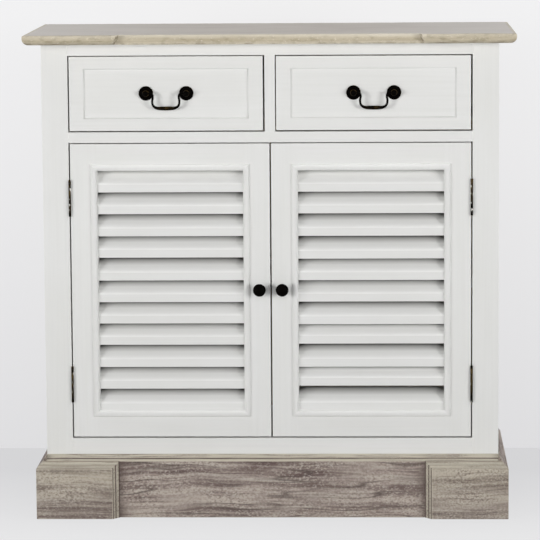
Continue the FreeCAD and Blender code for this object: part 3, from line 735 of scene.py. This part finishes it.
# %% Slats of both doors
SLATS = 11
SLAT_DROP_MM = {
    "left": (0.3, 0, 0.5, -0.3, 1.4, 1.2, 0.5, -0.1, 0.8, 1.0, 2.5),
    "right": (0.1, -0.4, 0.6, 2.1, 1.5, 0.9, 2.2, -1.5, 0.8, -3.6, 1.5),
}
SLAT_OVERLAP = 3.2 * MM
TOP_SLAT_SHADE, SLAT_SHADE = 0.72, 1.0
for hand in HANDS:
    low, high = door_window(hand)
    node = f"{hand}_door_slats"
    foot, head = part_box(node)
    pitch = (high.z - low.z) / SLATS
    climb = head.y - foot.y
    thickness = head.z - foot.z - (SLATS - 1) * pitch - climb
    shapes = []
    for step, drop in enumerate(SLAT_DROP_MM[hand]):
        bottom = low.z + (SLATS - 1 - step) * pitch - drop * MM
        start = Vector((low.x - SLAT_CORNER, foot.y, bottom))
        end = Vector((high.x + SLAT_CORNER, head.y, bottom + thickness))
        slope_shade = SLAT_SHADE if step else TOP_SLAT_SHADE
        shapes.append(slat(start, end, climb + SLAT_OVERLAP, slope_shade))
    hand_over(gathered(shapes), f"{node}_boards", [node], paint["x"])
print(f"{SLATS} slats a door, {pitch / MM:.1f} mm apart, {thickness / MM:.1f} mm front edges")

# %% [markdown]
# ## Beads
# A raised bead is planted round each louvred opening, mitred at its corners. It could be swept
# along a curve, but a rectangle that is extruded ring by ring, each ring a little smaller, keeps
# the mitres exact. The section rises from a small step in one arc, which grows flatter towards the
# crown, and turns down to the opening in another. What looks up gets a painted highlight.

# %% The bead's section
BEAD_STEP, BEAD_CROWN, BEAD_LIP, BEAD_ARC = 0.12, 0.52, 0.2, 6
OUTER_TILT, INNER_TILT = math.radians(55), math.radians(60)


def bead_profile():
    """Points of the bead's section, as shares of its width and height, from the outside in."""
    points = []
    for turn in range(BEAD_ARC + 1):
        angle = OUTER_TILT * (1 - turn / BEAD_ARC)
        fall = (1 - math.cos(angle)) / (1 - math.cos(OUTER_TILT))
        inwards = 1 - math.sin(angle) / math.sin(OUTER_TILT)
        points.append((BEAD_CROWN * inwards, 1 - (1 - BEAD_STEP) * fall))
    for turn in range(1, BEAD_ARC + 1):
        angle = INNER_TILT * turn / BEAD_ARC
        fall = (1 - math.cos(angle)) / (1 - math.cos(INNER_TILT))
        inwards = math.sin(angle) / math.sin(INNER_TILT)
        points.append((BEAD_CROWN + (1 - BEAD_CROWN) * inwards, 1 - (1 - BEAD_LIP) * fall))
    return points


print(f"{len(bead_profile())} points across a bead")

# %% Beads round the louvres
BEAD_SHEEN = 2.6


def shrink(bm, ring, box, inset, y):
    """Extrude a ring of edges to a rectangle that lies inside a box by an inset, at a depth y."""
    fresh = bmesh.ops.extrude_edge_only(bm, edges=ring)["geom"]
    middle = (box[0] + box[1]) / 2
    for vert in (part for part in fresh if isinstance(part, bmesh.types.BMVert)):
        side_x = math.copysign((box[1].x - box[0].x) / 2 - inset, vert.co.x - middle.x)
        side_z = math.copysign((box[1].z - box[0].z) / 2 - inset, vert.co.z - middle.z)
        vert.co = Vector((middle.x + side_x, y, middle.z + side_z))
    edges = [part for part in fresh if isinstance(part, bmesh.types.BMEdge)]
    return [edge for edge in edges if len(edge.link_faces) == 1]


def bead(box, width):
    """A mitred bead inside a box, extruded ring by ring along its profile."""
    back, height = box[1].y, box[1].y - box[0].y
    bm = bmesh.new()
    outline = [(0, 0), (1, 0), (1, 1), (0, 1)]
    ring_verts = [bm.verts.new((box[i].x, back, box[j].z)) for i, j in outline]
    first = [bm.edges.new((ring_verts[k], ring_verts[(k + 1) % 4])) for k in range(4)]
    ring = first
    for across, rise in bead_profile():
        ring = shrink(bm, ring, box, across * width, back - rise * height)
    ring = shrink(bm, ring, box, width, back)
    bmesh.ops.bridge_loops(bm, edges=ring + first)
    bmesh.ops.recalc_face_normals(bm, faces=bm.faces)
    # A painted highlight on faces that look up.
    wear_and_highlight = bm.loops.layers.float.new("wear_and_highlight")
    for face in bm.faces:
        for loop in face.loops:
            loop[wear_and_highlight] = max(0.0, BEAD_SHEEN * face.normal.z)
    return bm


for hand in HANDS:
    node = f"{hand}_door_bead"
    foot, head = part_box(node)
    width = door_window(hand)[0].x - foot.x
    hand_over(bead((foot, head), width), f"{node}_moulding", [node], paint["z"])
print(f"beads {width / MM:.0f} mm wide, {(head.y - foot.y) / MM:.1f} mm proud")

# %% [markdown]
# ## Drawers
# A drawer front is one board with a shallow sunk field. Inset makes the field's outline and a
# second inset, pushed in, makes its sloping side. The fronts were planed to fit by hand, so their
# gaps differ by fractions of a millimetre. The box behind is bare wood on a plywood bottom.

# %% Drawer front
FIELD_SIDE, FIELD_LEVEL, FIELD_SLOPE, FIELD_DEPTH = 23 * MM, 19.5 * MM, 2 * MM, 3 * MM
FIELD_EASE, FRONT_EASE = 0.8 * MM, 1.1 * MM


def drawer_front(low, high):
    """A board whose front face is sunk inside a margin that is narrower above and below."""
    bm = square_board(low, high)
    rim = bm.edges[:]
    front = [face for face in bm.faces if face.normal.y < -FACING]
    bmesh.ops.inset_region(bm, faces=front, thickness=FIELD_SIDE, use_even_offset=True)
    for vert in front[0].verts:
        vert.co.z += math.copysign(FIELD_SIDE - FIELD_LEVEL, vert.co.z - (low.z + high.z) / 2)
    margin = front[0].edges[:]
    bmesh.ops.inset_region(bm, faces=front, thickness=FIELD_SLOPE, depth=-FIELD_DEPTH,
                           use_even_offset=True)
    bmesh.ops.bevel(bm, geom=margin + front[0].edges[:], offset=FIELD_EASE, affect="EDGES", segments=3,
                    profile=0.5, material=-1)
    return eased(bm, [edge for edge in rim if edge.is_valid], FRONT_EASE)


print(f"the field lies {FIELD_DEPTH / MM:.0f} mm deep")

# %% Both drawers
DRAWER_FIT = {"left": {"left": 0.2, "right": -0.3, "down": 0.4, "up": 1.0},
              "right": {"left": 0.8, "right": -0.3, "down": 0.2, "up": 0.7}}
PANEL_EASE = 0.4 * MM
for hand in HANDS:
    front, back, bottom, sides = (f"{hand}_drawer_{part}" for part in ("front", "back", "bottom", "sides"))
    fitted = grown(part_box(front), **DRAWER_FIT[hand])
    hand_over(drawer_front(*fitted), f"{front}_board", [front], paint["x"])
    hand_over(board(*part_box(back)), f"{back}_board", [back], softwood["x"])
    hand_over(board(*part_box(bottom), PANEL_EASE), f"{bottom}_panel", [bottom], plywood["x"])
    bm = merged_copy(sides)
    hand_over(eased(bm, corners(bm), BOX_EASE), f"{sides}_boards", [sides], softwood["y"])
size = fitted[1] - fitted[0]
print(f"drawer fronts {size.x / MM:.0f} by {size.z / MM:.0f} mm")

# %% [markdown]
# ## Top board
# The top has a wing at each end that stands further forward, and ends in a short return that leans
# inwards. Its outline is a face pushed up by the board's thickness; then the lower edges get a wide
# round, except the returns, and the upper ones a small one. A hand-finished board isn't straight, so
# it is cut across every centimetre and its surface wanders by a few tenths of a millimetre, inside
# the box that its solid fills. The noise gets a seed, because without one it differs from run to run.

# %% A surface that wanders
CUT_SPACING, WANDER_LENGTH = 9 * MM, 30 * MM
WANDER_SEED = 4
noise.seed_set(WANDER_SEED)


def wander(bm, box, amount, keep):
    """Cut a shape across along x and let its surface wander by an amount, except where keep says."""
    low, high = box
    cuts = int((high.x - low.x) / CUT_SPACING)
    for step in range(1, cuts):
        cut(bm, (low.x + (high.x - low.x) * step / cuts, 0, 0), "x")
    for vert in bm.verts:
        if not keep(vert.co):
            drift = noise.noise_vector(vert.co / WANDER_LENGTH)
            vert.co.y = min(max(vert.co.y + amount * drift.y, low.y), high.y)
            vert.co.z = min(max(vert.co.z + amount * drift.z, low.z), high.z)
    bm.normal_update()
    return bm


print(f"surfaces wander over {WANDER_LENGTH / MM:.0f} mm")

# %% The top's shape
WING_LENGTH, WING_PROJECTION, WING_RETURN, WING_LEAN = 146 * MM, 12 * MM, 4 * MM, 8 * MM
UNDER_ROUND, TOP_ROUND, WAX_FADE = 10.5 * MM, 2.5 * MM, 5 * MM


def shown_edges(bm, level, back):
    """The edges of a shape at a level, without those at its back."""
    picked = []
    for edge in bm.edges:
        at_back = all(vert.co.y > back - MM for vert in edge.verts)
        if all(abs(vert.co.z - level) < TOUCH for vert in edge.verts) and not at_back:
            picked.append(edge)
    return picked


def top_board(low, high):
    """The top: a winged outline with rounded edges at the front and the ends."""
    wing, middle = high.x - WING_LENGTH, low.y + WING_PROJECTION
    half = [(high.x, high.y), (high.x, low.y), (wing, low.y), (wing - WING_RETURN, middle)]
    bm = bmesh.new()
    ring = [bm.verts.new((x, y, low.z)) for x, y in half]
    ring += [bm.verts.new((-x, y, low.z)) for x, y in reversed(half)]
    underside = bm.faces.new(ring)
    pushed = bmesh.ops.extrude_face_region(bm, geom=[underside])["geom"]
    lifted = [part for part in pushed if isinstance(part, bmesh.types.BMVert)]
    bmesh.ops.translate(bm, vec=(0, 0, high.z - low.z), verts=lifted)
    for vert in lifted:
        if abs(vert.co.x) < wing + MM:
            vert.co.x -= math.copysign(WING_LEAN, vert.co.x)
    bmesh.ops.recalc_face_normals(bm, faces=bm.faces)
    under = []
    for edge in shown_edges(bm, low.z, high.y):
        run = edge.verts[0].co - edge.verts[1].co
        if abs(abs(run.y) - WING_PROJECTION) > MM:
            under.append(edge)
    bmesh.ops.bevel(bm, geom=under, offset=UNDER_ROUND, affect="EDGES", segments=6, profile=0.5,
                    material=-1)
    return eased(bm, shown_edges(bm, high.z, high.y), TOP_ROUND, 4)


low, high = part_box("top_board")
bm = top_board(low, high)
print(f"top {(high.x - low.x) / MM:.0f} by {(high.y - low.y) / MM:.0f} mm")

# %% Wax, painted light and painted shade on the top
TOP_WANDER, LEVEL = 0.6 * MM, 0.99
EDGE_DARKENING, DARKENING_FALL, WING_SHADE, RETURN_SHADE_AND_GLAZE = 0.8, 3.0, 0.15, 0.8
ARRIS_RISE, ARRIS_START, FOOT_LIGHT, FOOT_FALL, WING_HIGHLIGHT = 2.5, 1.4, 0.7, 2.0, 0.6
carcass_x, face_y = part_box("right_side")[1].x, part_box("right_stile")[0].y
flat = [face for face in bm.faces if face.normal.z > LEVEL]
bmesh.ops.inset_region(bm, faces=flat, thickness=WAX_FADE, use_even_offset=True)
upper = bm.loops.layers.float.new("upper")
for face in flat:
    for loop in face.loops:
        for around in loop.vert.link_loops:
            around[upper] = 1.0
wander(bm, (low, high), TOP_WANDER,
       lambda co: co.z < high.z - MM and abs(co.x) < carcass_x + MM and co.y > face_y - MM)
dirt_and_shade = bm.loops.layers.float.new("dirt_and_shade")
wear_and_highlight = bm.loops.layers.float["wear_and_highlight"]
# Painted shade darkens the wings, and the returns with glaze; the lower edge is darker in patches. Painted light
# brightens the upper arris and the lower round, less on the wings.
for face in bm.faces:
    sideways = abs(face.calc_center_median().x)
    on_wing, at_end = sideways > high.x - WING_LENGTH, sideways > high.x - 0.5 * WING_LENGTH
    on_return = abs(face.normal.x) > 0.5 and not at_end
    for loop in face.loops:
        rise = (loop.vert.co.z - low.z) / (high.z - low.z)
        darkening = max(0.0, EDGE_DARKENING - DARKENING_FALL * rise) + (WING_SHADE if on_wing else 0.0)
        bright = max(0.0, ARRIS_RISE * rise - ARRIS_START, FOOT_LIGHT - FOOT_FALL * rise)
        loop[dirt_and_shade] = RETURN_SHADE_AND_GLAZE if on_return else darkening
        loop[wear_and_highlight] = bright * (WING_HIGHLIGHT if on_wing else 1.0)
hand_over(bm, "top_board_winged", ["top_board"], top_finish)
print(f"wax fades over {WAX_FADE / MM:.0f} mm round the top")

# %% [markdown]
# ## Plinth
# The plinth's boards are mouldings with straight profiles, which their solids already have. A
# merged copy of each is eased along its corners, cut across and allowed to wander like the top.
# The quirk under the ledge was cut a little deeper than drawn. Where the surface turns inwards, a
# small bevel fills the corner and is painted as a thin dark strip, glaze and painted shade together.
# Faces that look up are painted paler, as wear and painted highlight, and the front is painted
# darker beside the blocks, as painted shade.

# %% Glaze, painted shade and paler ledges
DARK_STRIP, BESIDE_BLOCK_SHADE = 1.5 * MM, 0.7
LEDGE_UP, LEDGE_SIDEWAYS = 0.35, 0.3


def painted_corners_and_ledges(bm, width):
    """Fill the inner corners of a shape with a dark strip of glaze and painted shade, and mark faces that look up
    to be painted paler.
    """
    inner = [edge for edge in bm.edges if not edge.is_convex and edge.calc_face_angle(0) > FOLD]
    filled = bmesh.ops.bevel(bm, geom=inner, offset=width, affect="EDGES", segments=1, profile=0.5,
                             material=-1)
    dirt_and_shade = bm.loops.layers.float.new("dirt_and_shade")
    ledge = bm.loops.layers.float.new("ledge")
    for face in bm.faces:
        looks_up = face.normal.z > LEDGE_UP and abs(face.normal.x) < LEDGE_SIDEWAYS
        for loop in face.loops:
            loop[ledge] = float(looks_up)
    for face in filled["faces"]:
        for loop in face.loops:
            loop[dirt_and_shade] = 1.0


def shaded_beside_blocks(bm, x):
    """Darken the front faces of a shape towards the blocks, which begin at an x to either side, as painted shade.
    """
    dirt_and_shade = bm.loops.layers.float["dirt_and_shade"]
    for face in bm.faces:
        if face.normal.y < -FACING:
            for loop in face.loops:
                gap = x - abs(loop.vert.co.x)
                stain = BESIDE_BLOCK_SHADE * min(1.0, 1 - gap / (2 * CUT_SPACING))
                loop[dirt_and_shade] = max(loop[dirt_and_shade], stain)


print(f"glaze stays in strips of {DARK_STRIP / MM} mm")

# %% Plinth boards
PLINTH_EASE, PLINTH_WANDER, QUIRK_SINK = 1.2 * MM, 0.35 * MM, 1.2 * MM


def against_carcass(co):
    """Whether a point of the plinth lies against the carcass or the floor."""
    return co.z < TOUCH or abs(co.x) < carcass_x + MM and co.y > face_y - MM


ledge_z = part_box("plinth_front")[1].z
quirk_z, block_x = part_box("left_plinth_block")[1].z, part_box("right_plinth_block")[0].x
for node, along in {"plinth_front": "x", "left_plinth": "y", "right_plinth": "y"}.items():
    bm = merged_copy(node)
    for vert in bm.verts:
        if quirk_z - MM < vert.co.z < ledge_z - MM:
            vert.co.z -= QUIRK_SINK
    painted_corners_and_ledges(bm, DARK_STRIP)
    eased(bm, corners(bm), PLINTH_EASE)
    wander(bm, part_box(node), PLINTH_WANDER, against_carcass)
    shaded_beside_blocks(bm, block_x)
    hand_over(bm, f"{node}_moulding", [node], board_finish[along])
print(f"plinth {ledge_z / MM:.0f} mm high")

# %% [markdown]
# ## Corner blocks
# Each corner block carries a moulding along its top and down its inner end: an arris, a small
# riser, a slope, another riser, a slope and a last step to the plinth. The solid has one plain
# slope there. Cutting it at each depth of the moulding's section, and moving each cut to its place
# in the section, turns the slope into the moulding with its mitre kept. The section lists, as
# shares, how far out and back each facet ends, and how dark it is painted: glaze with painted shade
# on the risers, painted shade in the step against the plinth.

# %% The moulding's glaze and painted shade
BLOCK_SECTION = [
    (0.0, 0.0, 0.0), (0.06, 0.05, 0.0), (0.18, 0.1, 0.85), (0.4, 0.38, 0.0), (0.54, 0.48, 0.65),
    (0.86, 0.82, 0.0), (1.0, 1.0, 0.9),
]
TOP_DARKENING, END_DARKENING, HIP_SHADE = 0.6, 1.7, 0.3
MOULDING_LEDGE, HIP_LEDGE = 0.8, 0.2
SLANTED = 0.3


def darken_moulding(bm, low, high, shoulder_z, side):
    """Darken the facets of a block's moulding as the section says, as glaze and painted shade, and give its hip a
    little painted shade and paler paint.
    """
    dirt_and_shade = bm.loops.layers.float.new("dirt_and_shade")
    ledge = bm.loops.layers.float.new("ledge")
    for face in bm.faces:
        middle = face.calc_center_median()
        moulded = face.normal.y < -SLANTED and middle.y > low.y + TOUCH
        hip = face.normal.z > SLANTED and face.normal.x * side > SLANTED
        depth = (middle.y - low.y) / (high.y - low.y)
        darkening = next(point[2] for point in BLOCK_SECTION if point[1] >= depth)
        darkening *= TOP_DARKENING if middle.z > shoulder_z else END_DARKENING
        for loop in face.loops:
            loop[dirt_and_shade] = darkening if moulded else HIP_SHADE * hip
            loop[ledge] = MOULDING_LEDGE if moulded else HIP_LEDGE * hip


print("a moulding of", len(BLOCK_SECTION) - 1, "facets")

# %% Corner blocks
BLOCK_EASE = 0.5 * MM


def moulded_block(node, side):
    """A corner block whose slopes are cut to the moulding's section, with glaze and painted shade on its dark
    facets.
    """
    low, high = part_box(node)
    bm = merged_copy(node)
    front = [vert.co for vert in bm.verts if vert.co.y < low.y + TOUCH]
    shoulder_z = max(co.z for co in front)
    shoulder_x = min(co.x * side for co in front)
    inner_x, outer_x = sorted((low.x * side, high.x * side))
    hip_x = max(vert.co.x * side for vert in bm.verts if vert.co.z > high.z - TOUCH)
    for out, back, darkening in BLOCK_SECTION[1:-1]:
        cut(bm, (0, low.y + back * (high.y - low.y), 0), "y")
    darken_moulding(bm, low, high, shoulder_z, side)
    for vert in bm.verts:
        depth = (vert.co.y - low.y) / (high.y - low.y)
        out = min(BLOCK_SECTION, key=lambda point: abs(point[1] - depth))[0]
        x = vert.co.x * side
        if vert.co.z > shoulder_z + TOUCH:
            vert.co.z = shoulder_z + out * (high.z - QUIRK_SINK - shoulder_z)
            if x > hip_x - MM:
                vert.co.x = side * (outer_x - out * (outer_x - hip_x))
        if x < shoulder_x - TOUCH:
            vert.co.x = side * (shoulder_x - out * (shoulder_x - inner_x))
    bm.normal_update()
    return bm


for hand, side in HANDS.items():
    node = f"{hand}_plinth_block"
    bm = moulded_block(node, side)
    eased(bm, corners(bm), BLOCK_EASE, 2)
    wander(bm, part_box(node), PLINTH_WANDER, against_carcass)
    hand_over(bm, f"{node}_moulding", [node], block_finish)
print(f"blocks {quirk_z / MM:.0f} mm high")

# %% [markdown]
# ## Knobs and rosettes
# Knobs and the rosettes of the pulls are turned, so each is half a profile spun round its axis.
# Straight runs are points and round stretches are arcs of an ellipse. The rosettes' rims are painted
# as rub, because that is where fingers polish them; the knobs have stayed black.

# %% Profiles and turning
TURN_STEPS = 40
RIM_WIDTH = 0.5


def arc(centre, radii, start, end, steps=8):
    """Points along an ellipse, from one angle to another in degrees."""
    points = []
    for step in range(steps + 1):
        angle = math.radians(start + (end - start) * step / steps)
        points.append((centre[0] + radii[0] * math.cos(angle), centre[1] + radii[1] * math.sin(angle)))
    return points


def turned(profile, place, rims):
    """Spin a profile of (radius, height) in millimetres round an axis that points out of the front."""
    bm = bmesh.new()
    wear_and_highlight = bm.verts.layers.float.new("wear_and_highlight")
    verts = []
    for radius, height in profile:
        verts.append(bm.verts.new(place + Vector((radius * MM, -height * MM, 0))))
        verts[-1][wear_and_highlight] = float(any(abs(radius - rim) < RIM_WIDTH for rim in rims))
    edges = [bm.edges.new(pair) for pair in zip(verts, verts[1:])]
    bmesh.ops.spin(bm, geom=verts + edges, cent=place, axis=(0, 1, 0), angle=math.tau, steps=TURN_STEPS,
                   use_merge=True)
    bmesh.ops.remove_doubles(bm, verts=bm.verts, dist=HAIR)
    bmesh.ops.recalc_face_normals(bm, faces=bm.faces)
    return bm


print(f"turned in {TURN_STEPS} steps")

# %% Turned ironwork
KNOB = [
    (0, 0), (7.5, 0), (7.5, 1.0), *arc((5.6, 1.0), (1.9, 2.0), 0, 80, 4),
    *arc((6.6, 7.0), (2.9, 3.4), 250, 160, 6), *arc((0, 17.0), (10.5, 7.0), -66, 90, 14),
]
ROSETTE_RIM, STUD_RIM = 11.8, 5.0
ROSETTE = [
    (0, 0), (ROSETTE_RIM, 0), *arc((10.6, 1.1), (1.2, 1.3), 0, 100, 5), (8.6, 2.2), (8.2, 1.8),
    *arc((8.0, 5.2), (2.8, 3.2), 260, 180, 5), (STUD_RIM, 9.5), *arc((0, 9.5), (STUD_RIM, 4.5), 10, 90, 8),
]
for hand in HANDS:
    node = f"{hand}_door_knob"
    foot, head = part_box(node)
    seat_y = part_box(f"{hand}_door_lock_stile")[0].y
    seat = Vector(((foot.x + head.x) / 2, seat_y, (foot.z + head.z) / 2))
    hand_over(turned(KNOB, seat, ()), f"{node}_turned", [node], iron, flat=False)

    node = f"{hand}_drawer_pull_posts"
    foot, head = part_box(node)
    radius = (head.z - foot.z) / 2
    seat_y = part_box(f"{hand}_drawer_front")[0].y + FIELD_DEPTH
    shapes = []
    for x in (foot.x + radius, head.x - radius):
        seat = Vector((x, seat_y, foot.z + radius))
        shapes.append(turned(ROSETTE, seat, (ROSETTE_RIM, STUD_RIM)))
    hand_over(gathered(shapes), f"{node}_turned", [node], iron, flat=False)
print(f"rosettes {2 * ROSETTE_RIM:.0f} mm across")

# %% [markdown]
# ## Bails
# A bail is a bent iron wire that swells in the middle, where fingers pull it. It goes into the
# studs at pivot height, shrugs over a small shoulder, drops, and turns into the grip. A smooth
# curve with a radius at each of its points makes such a wire, and is then turned into a mesh. The
# grip is painted worn to bronze, and its upper side more, as a painted highlight.

# %% The bail's wire
WIRE = 1.85
BAIL_HALF = [
    (31, 0, WIRE), (26, 0, WIRE), (22.4, -1.3, WIRE), (21.3, -5.5, 1.75), (22.2, -13, 1.75),
    (20.2, -20, 1.9), (14.5, -23.4, 2.4), (7.5, -24.0, 3.0),
]
BAIL_MIDDLE = (0, -24.1, 3.25)
BAIL_ROUTE = [*BAIL_HALF, BAIL_MIDDLE, *[(-x, z, wide) for x, z, wide in reversed(BAIL_HALF)]]


def bent_wire(name, pivot):
    """A mesh of the wire, hanging from a pivot."""
    wire = bpy.data.curves.new(name, "CURVE")
    wire.dimensions = "3D"
    wire.bevel_depth = 1 * MM
    wire.bevel_resolution = 6
    wire.resolution_u = 8
    wire.use_fill_caps = True
    spline = wire.splines.new("BEZIER")
    spline.bezier_points.add(len(BAIL_ROUTE) - 1)
    for point, (x, z, wide) in zip(spline.bezier_points, BAIL_ROUTE):
        point.co = pivot + Vector((x, 0, z)) * MM
        point.radius = wide
        point.handle_left_type = point.handle_right_type = "AUTO"
    holder = bpy.data.objects.new(name + "_curve", wire)
    mesh = bpy.data.meshes.new_from_object(holder)
    bm = bmesh.new()
    bm.from_mesh(mesh)
    bmesh.ops.remove_doubles(bm, verts=bm.verts, dist=HAIR)
    bpy.data.objects.remove(holder)
    bpy.data.meshes.remove(mesh)
    return bm


print(f"{len(BAIL_ROUTE)} points along a bail")

# %% Bails
GRIP_HALF, GRIP_RUB = 16 * MM, 0.5
for hand in HANDS:
    node = f"{hand}_bail"
    joint = next(joint for joint in frame["joints"] if joint["child"] == node)
    pivot = Vector(joint["pos_m"])
    bm = bent_wire(node, pivot)
    # Wear on the grip, with a painted highlight on its upper side.
    wear_and_highlight = bm.verts.layers.float.new("wear_and_highlight")
    for vert in bm.verts:
        near = max(0.0, 1 - abs(vert.co.x - pivot.x) / GRIP_HALF)
        vert[wear_and_highlight] = near * (GRIP_RUB + max(0.0, vert.normal.z))
    hand_over(bm, f"{node}_wire", [node], iron, flat=False)
print(f"bails with a grip {2 * BAIL_MIDDLE[2]:.1f} mm thick")

# %% [markdown]
# ## Finishes on what is left
# Cleats, hinges, screws, pins, strikes and catches keep their solids. They only need a finish,
# which goes into the object's material slot.

# %% Finish the remaining nodes
REMAINING = {
    "blackened_iron": wiped_iron, "screw_steel": zinc, "plated_steel": nickel,
    "catch_plastic": case_plastic, "raw_wood": softwood["y"],
}
kept = []
for node, solid in frame["nodes"].items():
    if not solid.hide_render:
        solid.data.materials.clear()
        solid.data.materials.append(REMAINING[slot_of[node]])
        kept.append(node)
print("finished as they are:", ", ".join(kept))

# %% [markdown]
# ## Stage
# The cabinet stands on a pale floor in front of a pale wall. Both show the camera part of their own
# pale colour, whatever light falls on them, so the picture stays bright without more light on the
# cabinet. That colour is graded as painted light: the wall grows brighter upwards and the floor
# darker towards the wall. The wall is seen only from its front, so it can't hide the back.

# %% Sheets and stage paint
def sheet(name, middle, across, up, half):
    """A flat sheet round a middle point, spanned by two directions."""
    bm = bmesh.new()
    signs = ((-1, -1), (1, -1), (1, 1), (-1, 1))
    spots = [middle + across * i * half + up * j * half for i, j in signs]
    bm.faces.new([bm.verts.new(spot) for spot in spots])
    mesh = bpy.data.meshes.new(name)
    bm.to_mesh(mesh)
    bm.free()
    thing = bpy.data.objects.new(name, mesh)
    scene.collection.objects.link(thing)
    return thing


def to_eye(tree):
    """1 for rays that bring the stage to the eye, straight or by way of metal or glass."""
    seen = 0.0
    for kind in ("Is Camera Ray", "Is Glossy Ray", "Is Transmission Ray"):
        ray = add(tree, "LightPath", (), kind)
        seen = add(tree, "Math", (seen, ray), operation="MAXIMUM")
    return seen


def stage_paint(name, axis, near, far, span, own, matt):
    """Matt paint that glows with its own share of a colour that goes from near to far along an axis, a gradient of
    painted light.
    """
    material, tree, shader, point = start_finish(name)
    along = add(tree, "SeparateXYZ", (point,), axis)
    pale = layered(tree, colour(near), (along, *span, 1.0, far))
    fill(tree, shader, {"Base Color": colour(matt), "Roughness": 0.9, "Specular IOR Level": 0.1})
    painted_glow = add(tree, "Emission", {"Color": pale})
    share = add(tree, "Math", (to_eye(tree), own), operation="MULTIPLY")
    mixed = add(tree, "MixShader", (share, shader.outputs[0], painted_glow))
    fill(tree, tree.nodes["Material Output"], {"Surface": mixed})
    return material, tree, mixed


print("stage paint ready")

# %% Stage
WALL_Y, WALL_Z = 0.45, 2.9
FLOOR_HALF, WALL_HALF = 9.0, 3.0
X, Y, Z = Vector((1, 0, 0)), Vector((0, 1, 0)), Vector((0, 0, 1))
floor = sheet("floor", Vector((0, 0, -TOUCH)), X, Y, FLOOR_HALF)
material, tree, mixed = stage_paint("floor_paint", "Y", "#f5f5f6", "#e2e2e4", (-0.3, 0.25), 0.8, "#b4b4b6")
floor.data.materials.append(material)
wall = sheet("wall", Vector((0, WALL_Y, WALL_Z)), X, Z, WALL_HALF)
material, tree, mixed = stage_paint("wall_paint", "Z", "#e4e4e6", "#f6f6f7", (0.0, 0.8), 0.85, "#e6e6e8")
behind = add(tree, "NewGeometry", (), "Backfacing")
clear = add(tree, "BsdfTransparent")
either = add(tree, "MixShader", (behind, mixed, clear))
fill(tree, tree.nodes["Material Output"], {"Surface": either})
wall.data.materials.append(material)
wall.visible_diffuse = False
wall.visible_shadow = False
print("stage set")

# %% [markdown]
# ## Light
# Two softboxes light the cabinet from about 50 degrees left and right, so that triangles of shade
# stand at the ends of the slats. They stand low, so the top throws hardly any shadow on the drawers,
# and they are aimed far above the cabinet, so that their light falls off towards the floor. A broad
# one in front, aimed in the same way, softens the shadows of knobs and pulls. A lamp overhead picks
# out what looks up, and the room, which is brighter behind the cabinet, fills in the rest.

# %% Softboxes
def softbox(name, place, aim, width, height, watts):
    """A rectangular lamp that faces a point."""
    lamp = bpy.data.lights.new(name, "AREA")
    lamp.shape = "RECTANGLE"
    lamp.size, lamp.size_y = width, height
    lamp.energy = watts
    holder = bpy.data.objects.new(name, lamp)
    holder.location = place
    holder.rotation_euler = (aim - place).to_track_quat("-Z", "Y").to_euler()
    holder.visible_camera = False
    scene.collection.objects.link(holder)


SIDE_X, SIDE_Y, SIDE_Z = 3.1, -2.7, 0.82
SIDE_AIM, FRONT_AIM, OVERHEAD_AIM = Vector((0, 0, 4.1)), Vector((0, 0, 4.5)), Vector((0, 0, 0.5))
SIDE_WATTS, FRONT_WATTS, OVERHEAD_WATTS = {"left": 101, "right": 94}, 60, 12
for hand, side in HANDS.items():
    place = Vector((side * SIDE_X, SIDE_Y, SIDE_Z))
    softbox(f"{hand}_softbox", place, SIDE_AIM, 1.4, 1.55, SIDE_WATTS[hand])
softbox("front", Vector((0, -5.0, 2.2)), FRONT_AIM, 2.4, 1.6, FRONT_WATTS)
softbox("overhead", Vector((0, -0.5, 3.0)), OVERHEAD_AIM, 1.8, 0.8, OVERHEAD_WATTS)
print("softboxes placed")

# %% The room
ROOM_FRONT, ROOM_BACK, ROOM_SEEN = 0.05, 0.9, 0.85
FIRST_VALUE, SECOND_VALUE = 2, 3
world = bpy.data.worlds.new("room")
world.use_nodes = True
scene.world = world
tree = world.node_tree
way = add(tree, "TexCoord", (), "Generated")
backward = add(tree, "SeparateXYZ", (way,), "Y")
lit = add(tree, "MapRange", (backward, -0.2, 0.6, ROOM_FRONT, ROOM_BACK))
room = add(tree, "Mix", {SHARE: to_eye(tree), FIRST_VALUE: lit, SECOND_VALUE: ROOM_SEEN})
fill(tree, tree.nodes["Background"], {"Color": colour("#ffffff"), "Strength": room})
print(f"the room lights with {ROOM_FRONT} in front and {ROOM_BACK} behind")
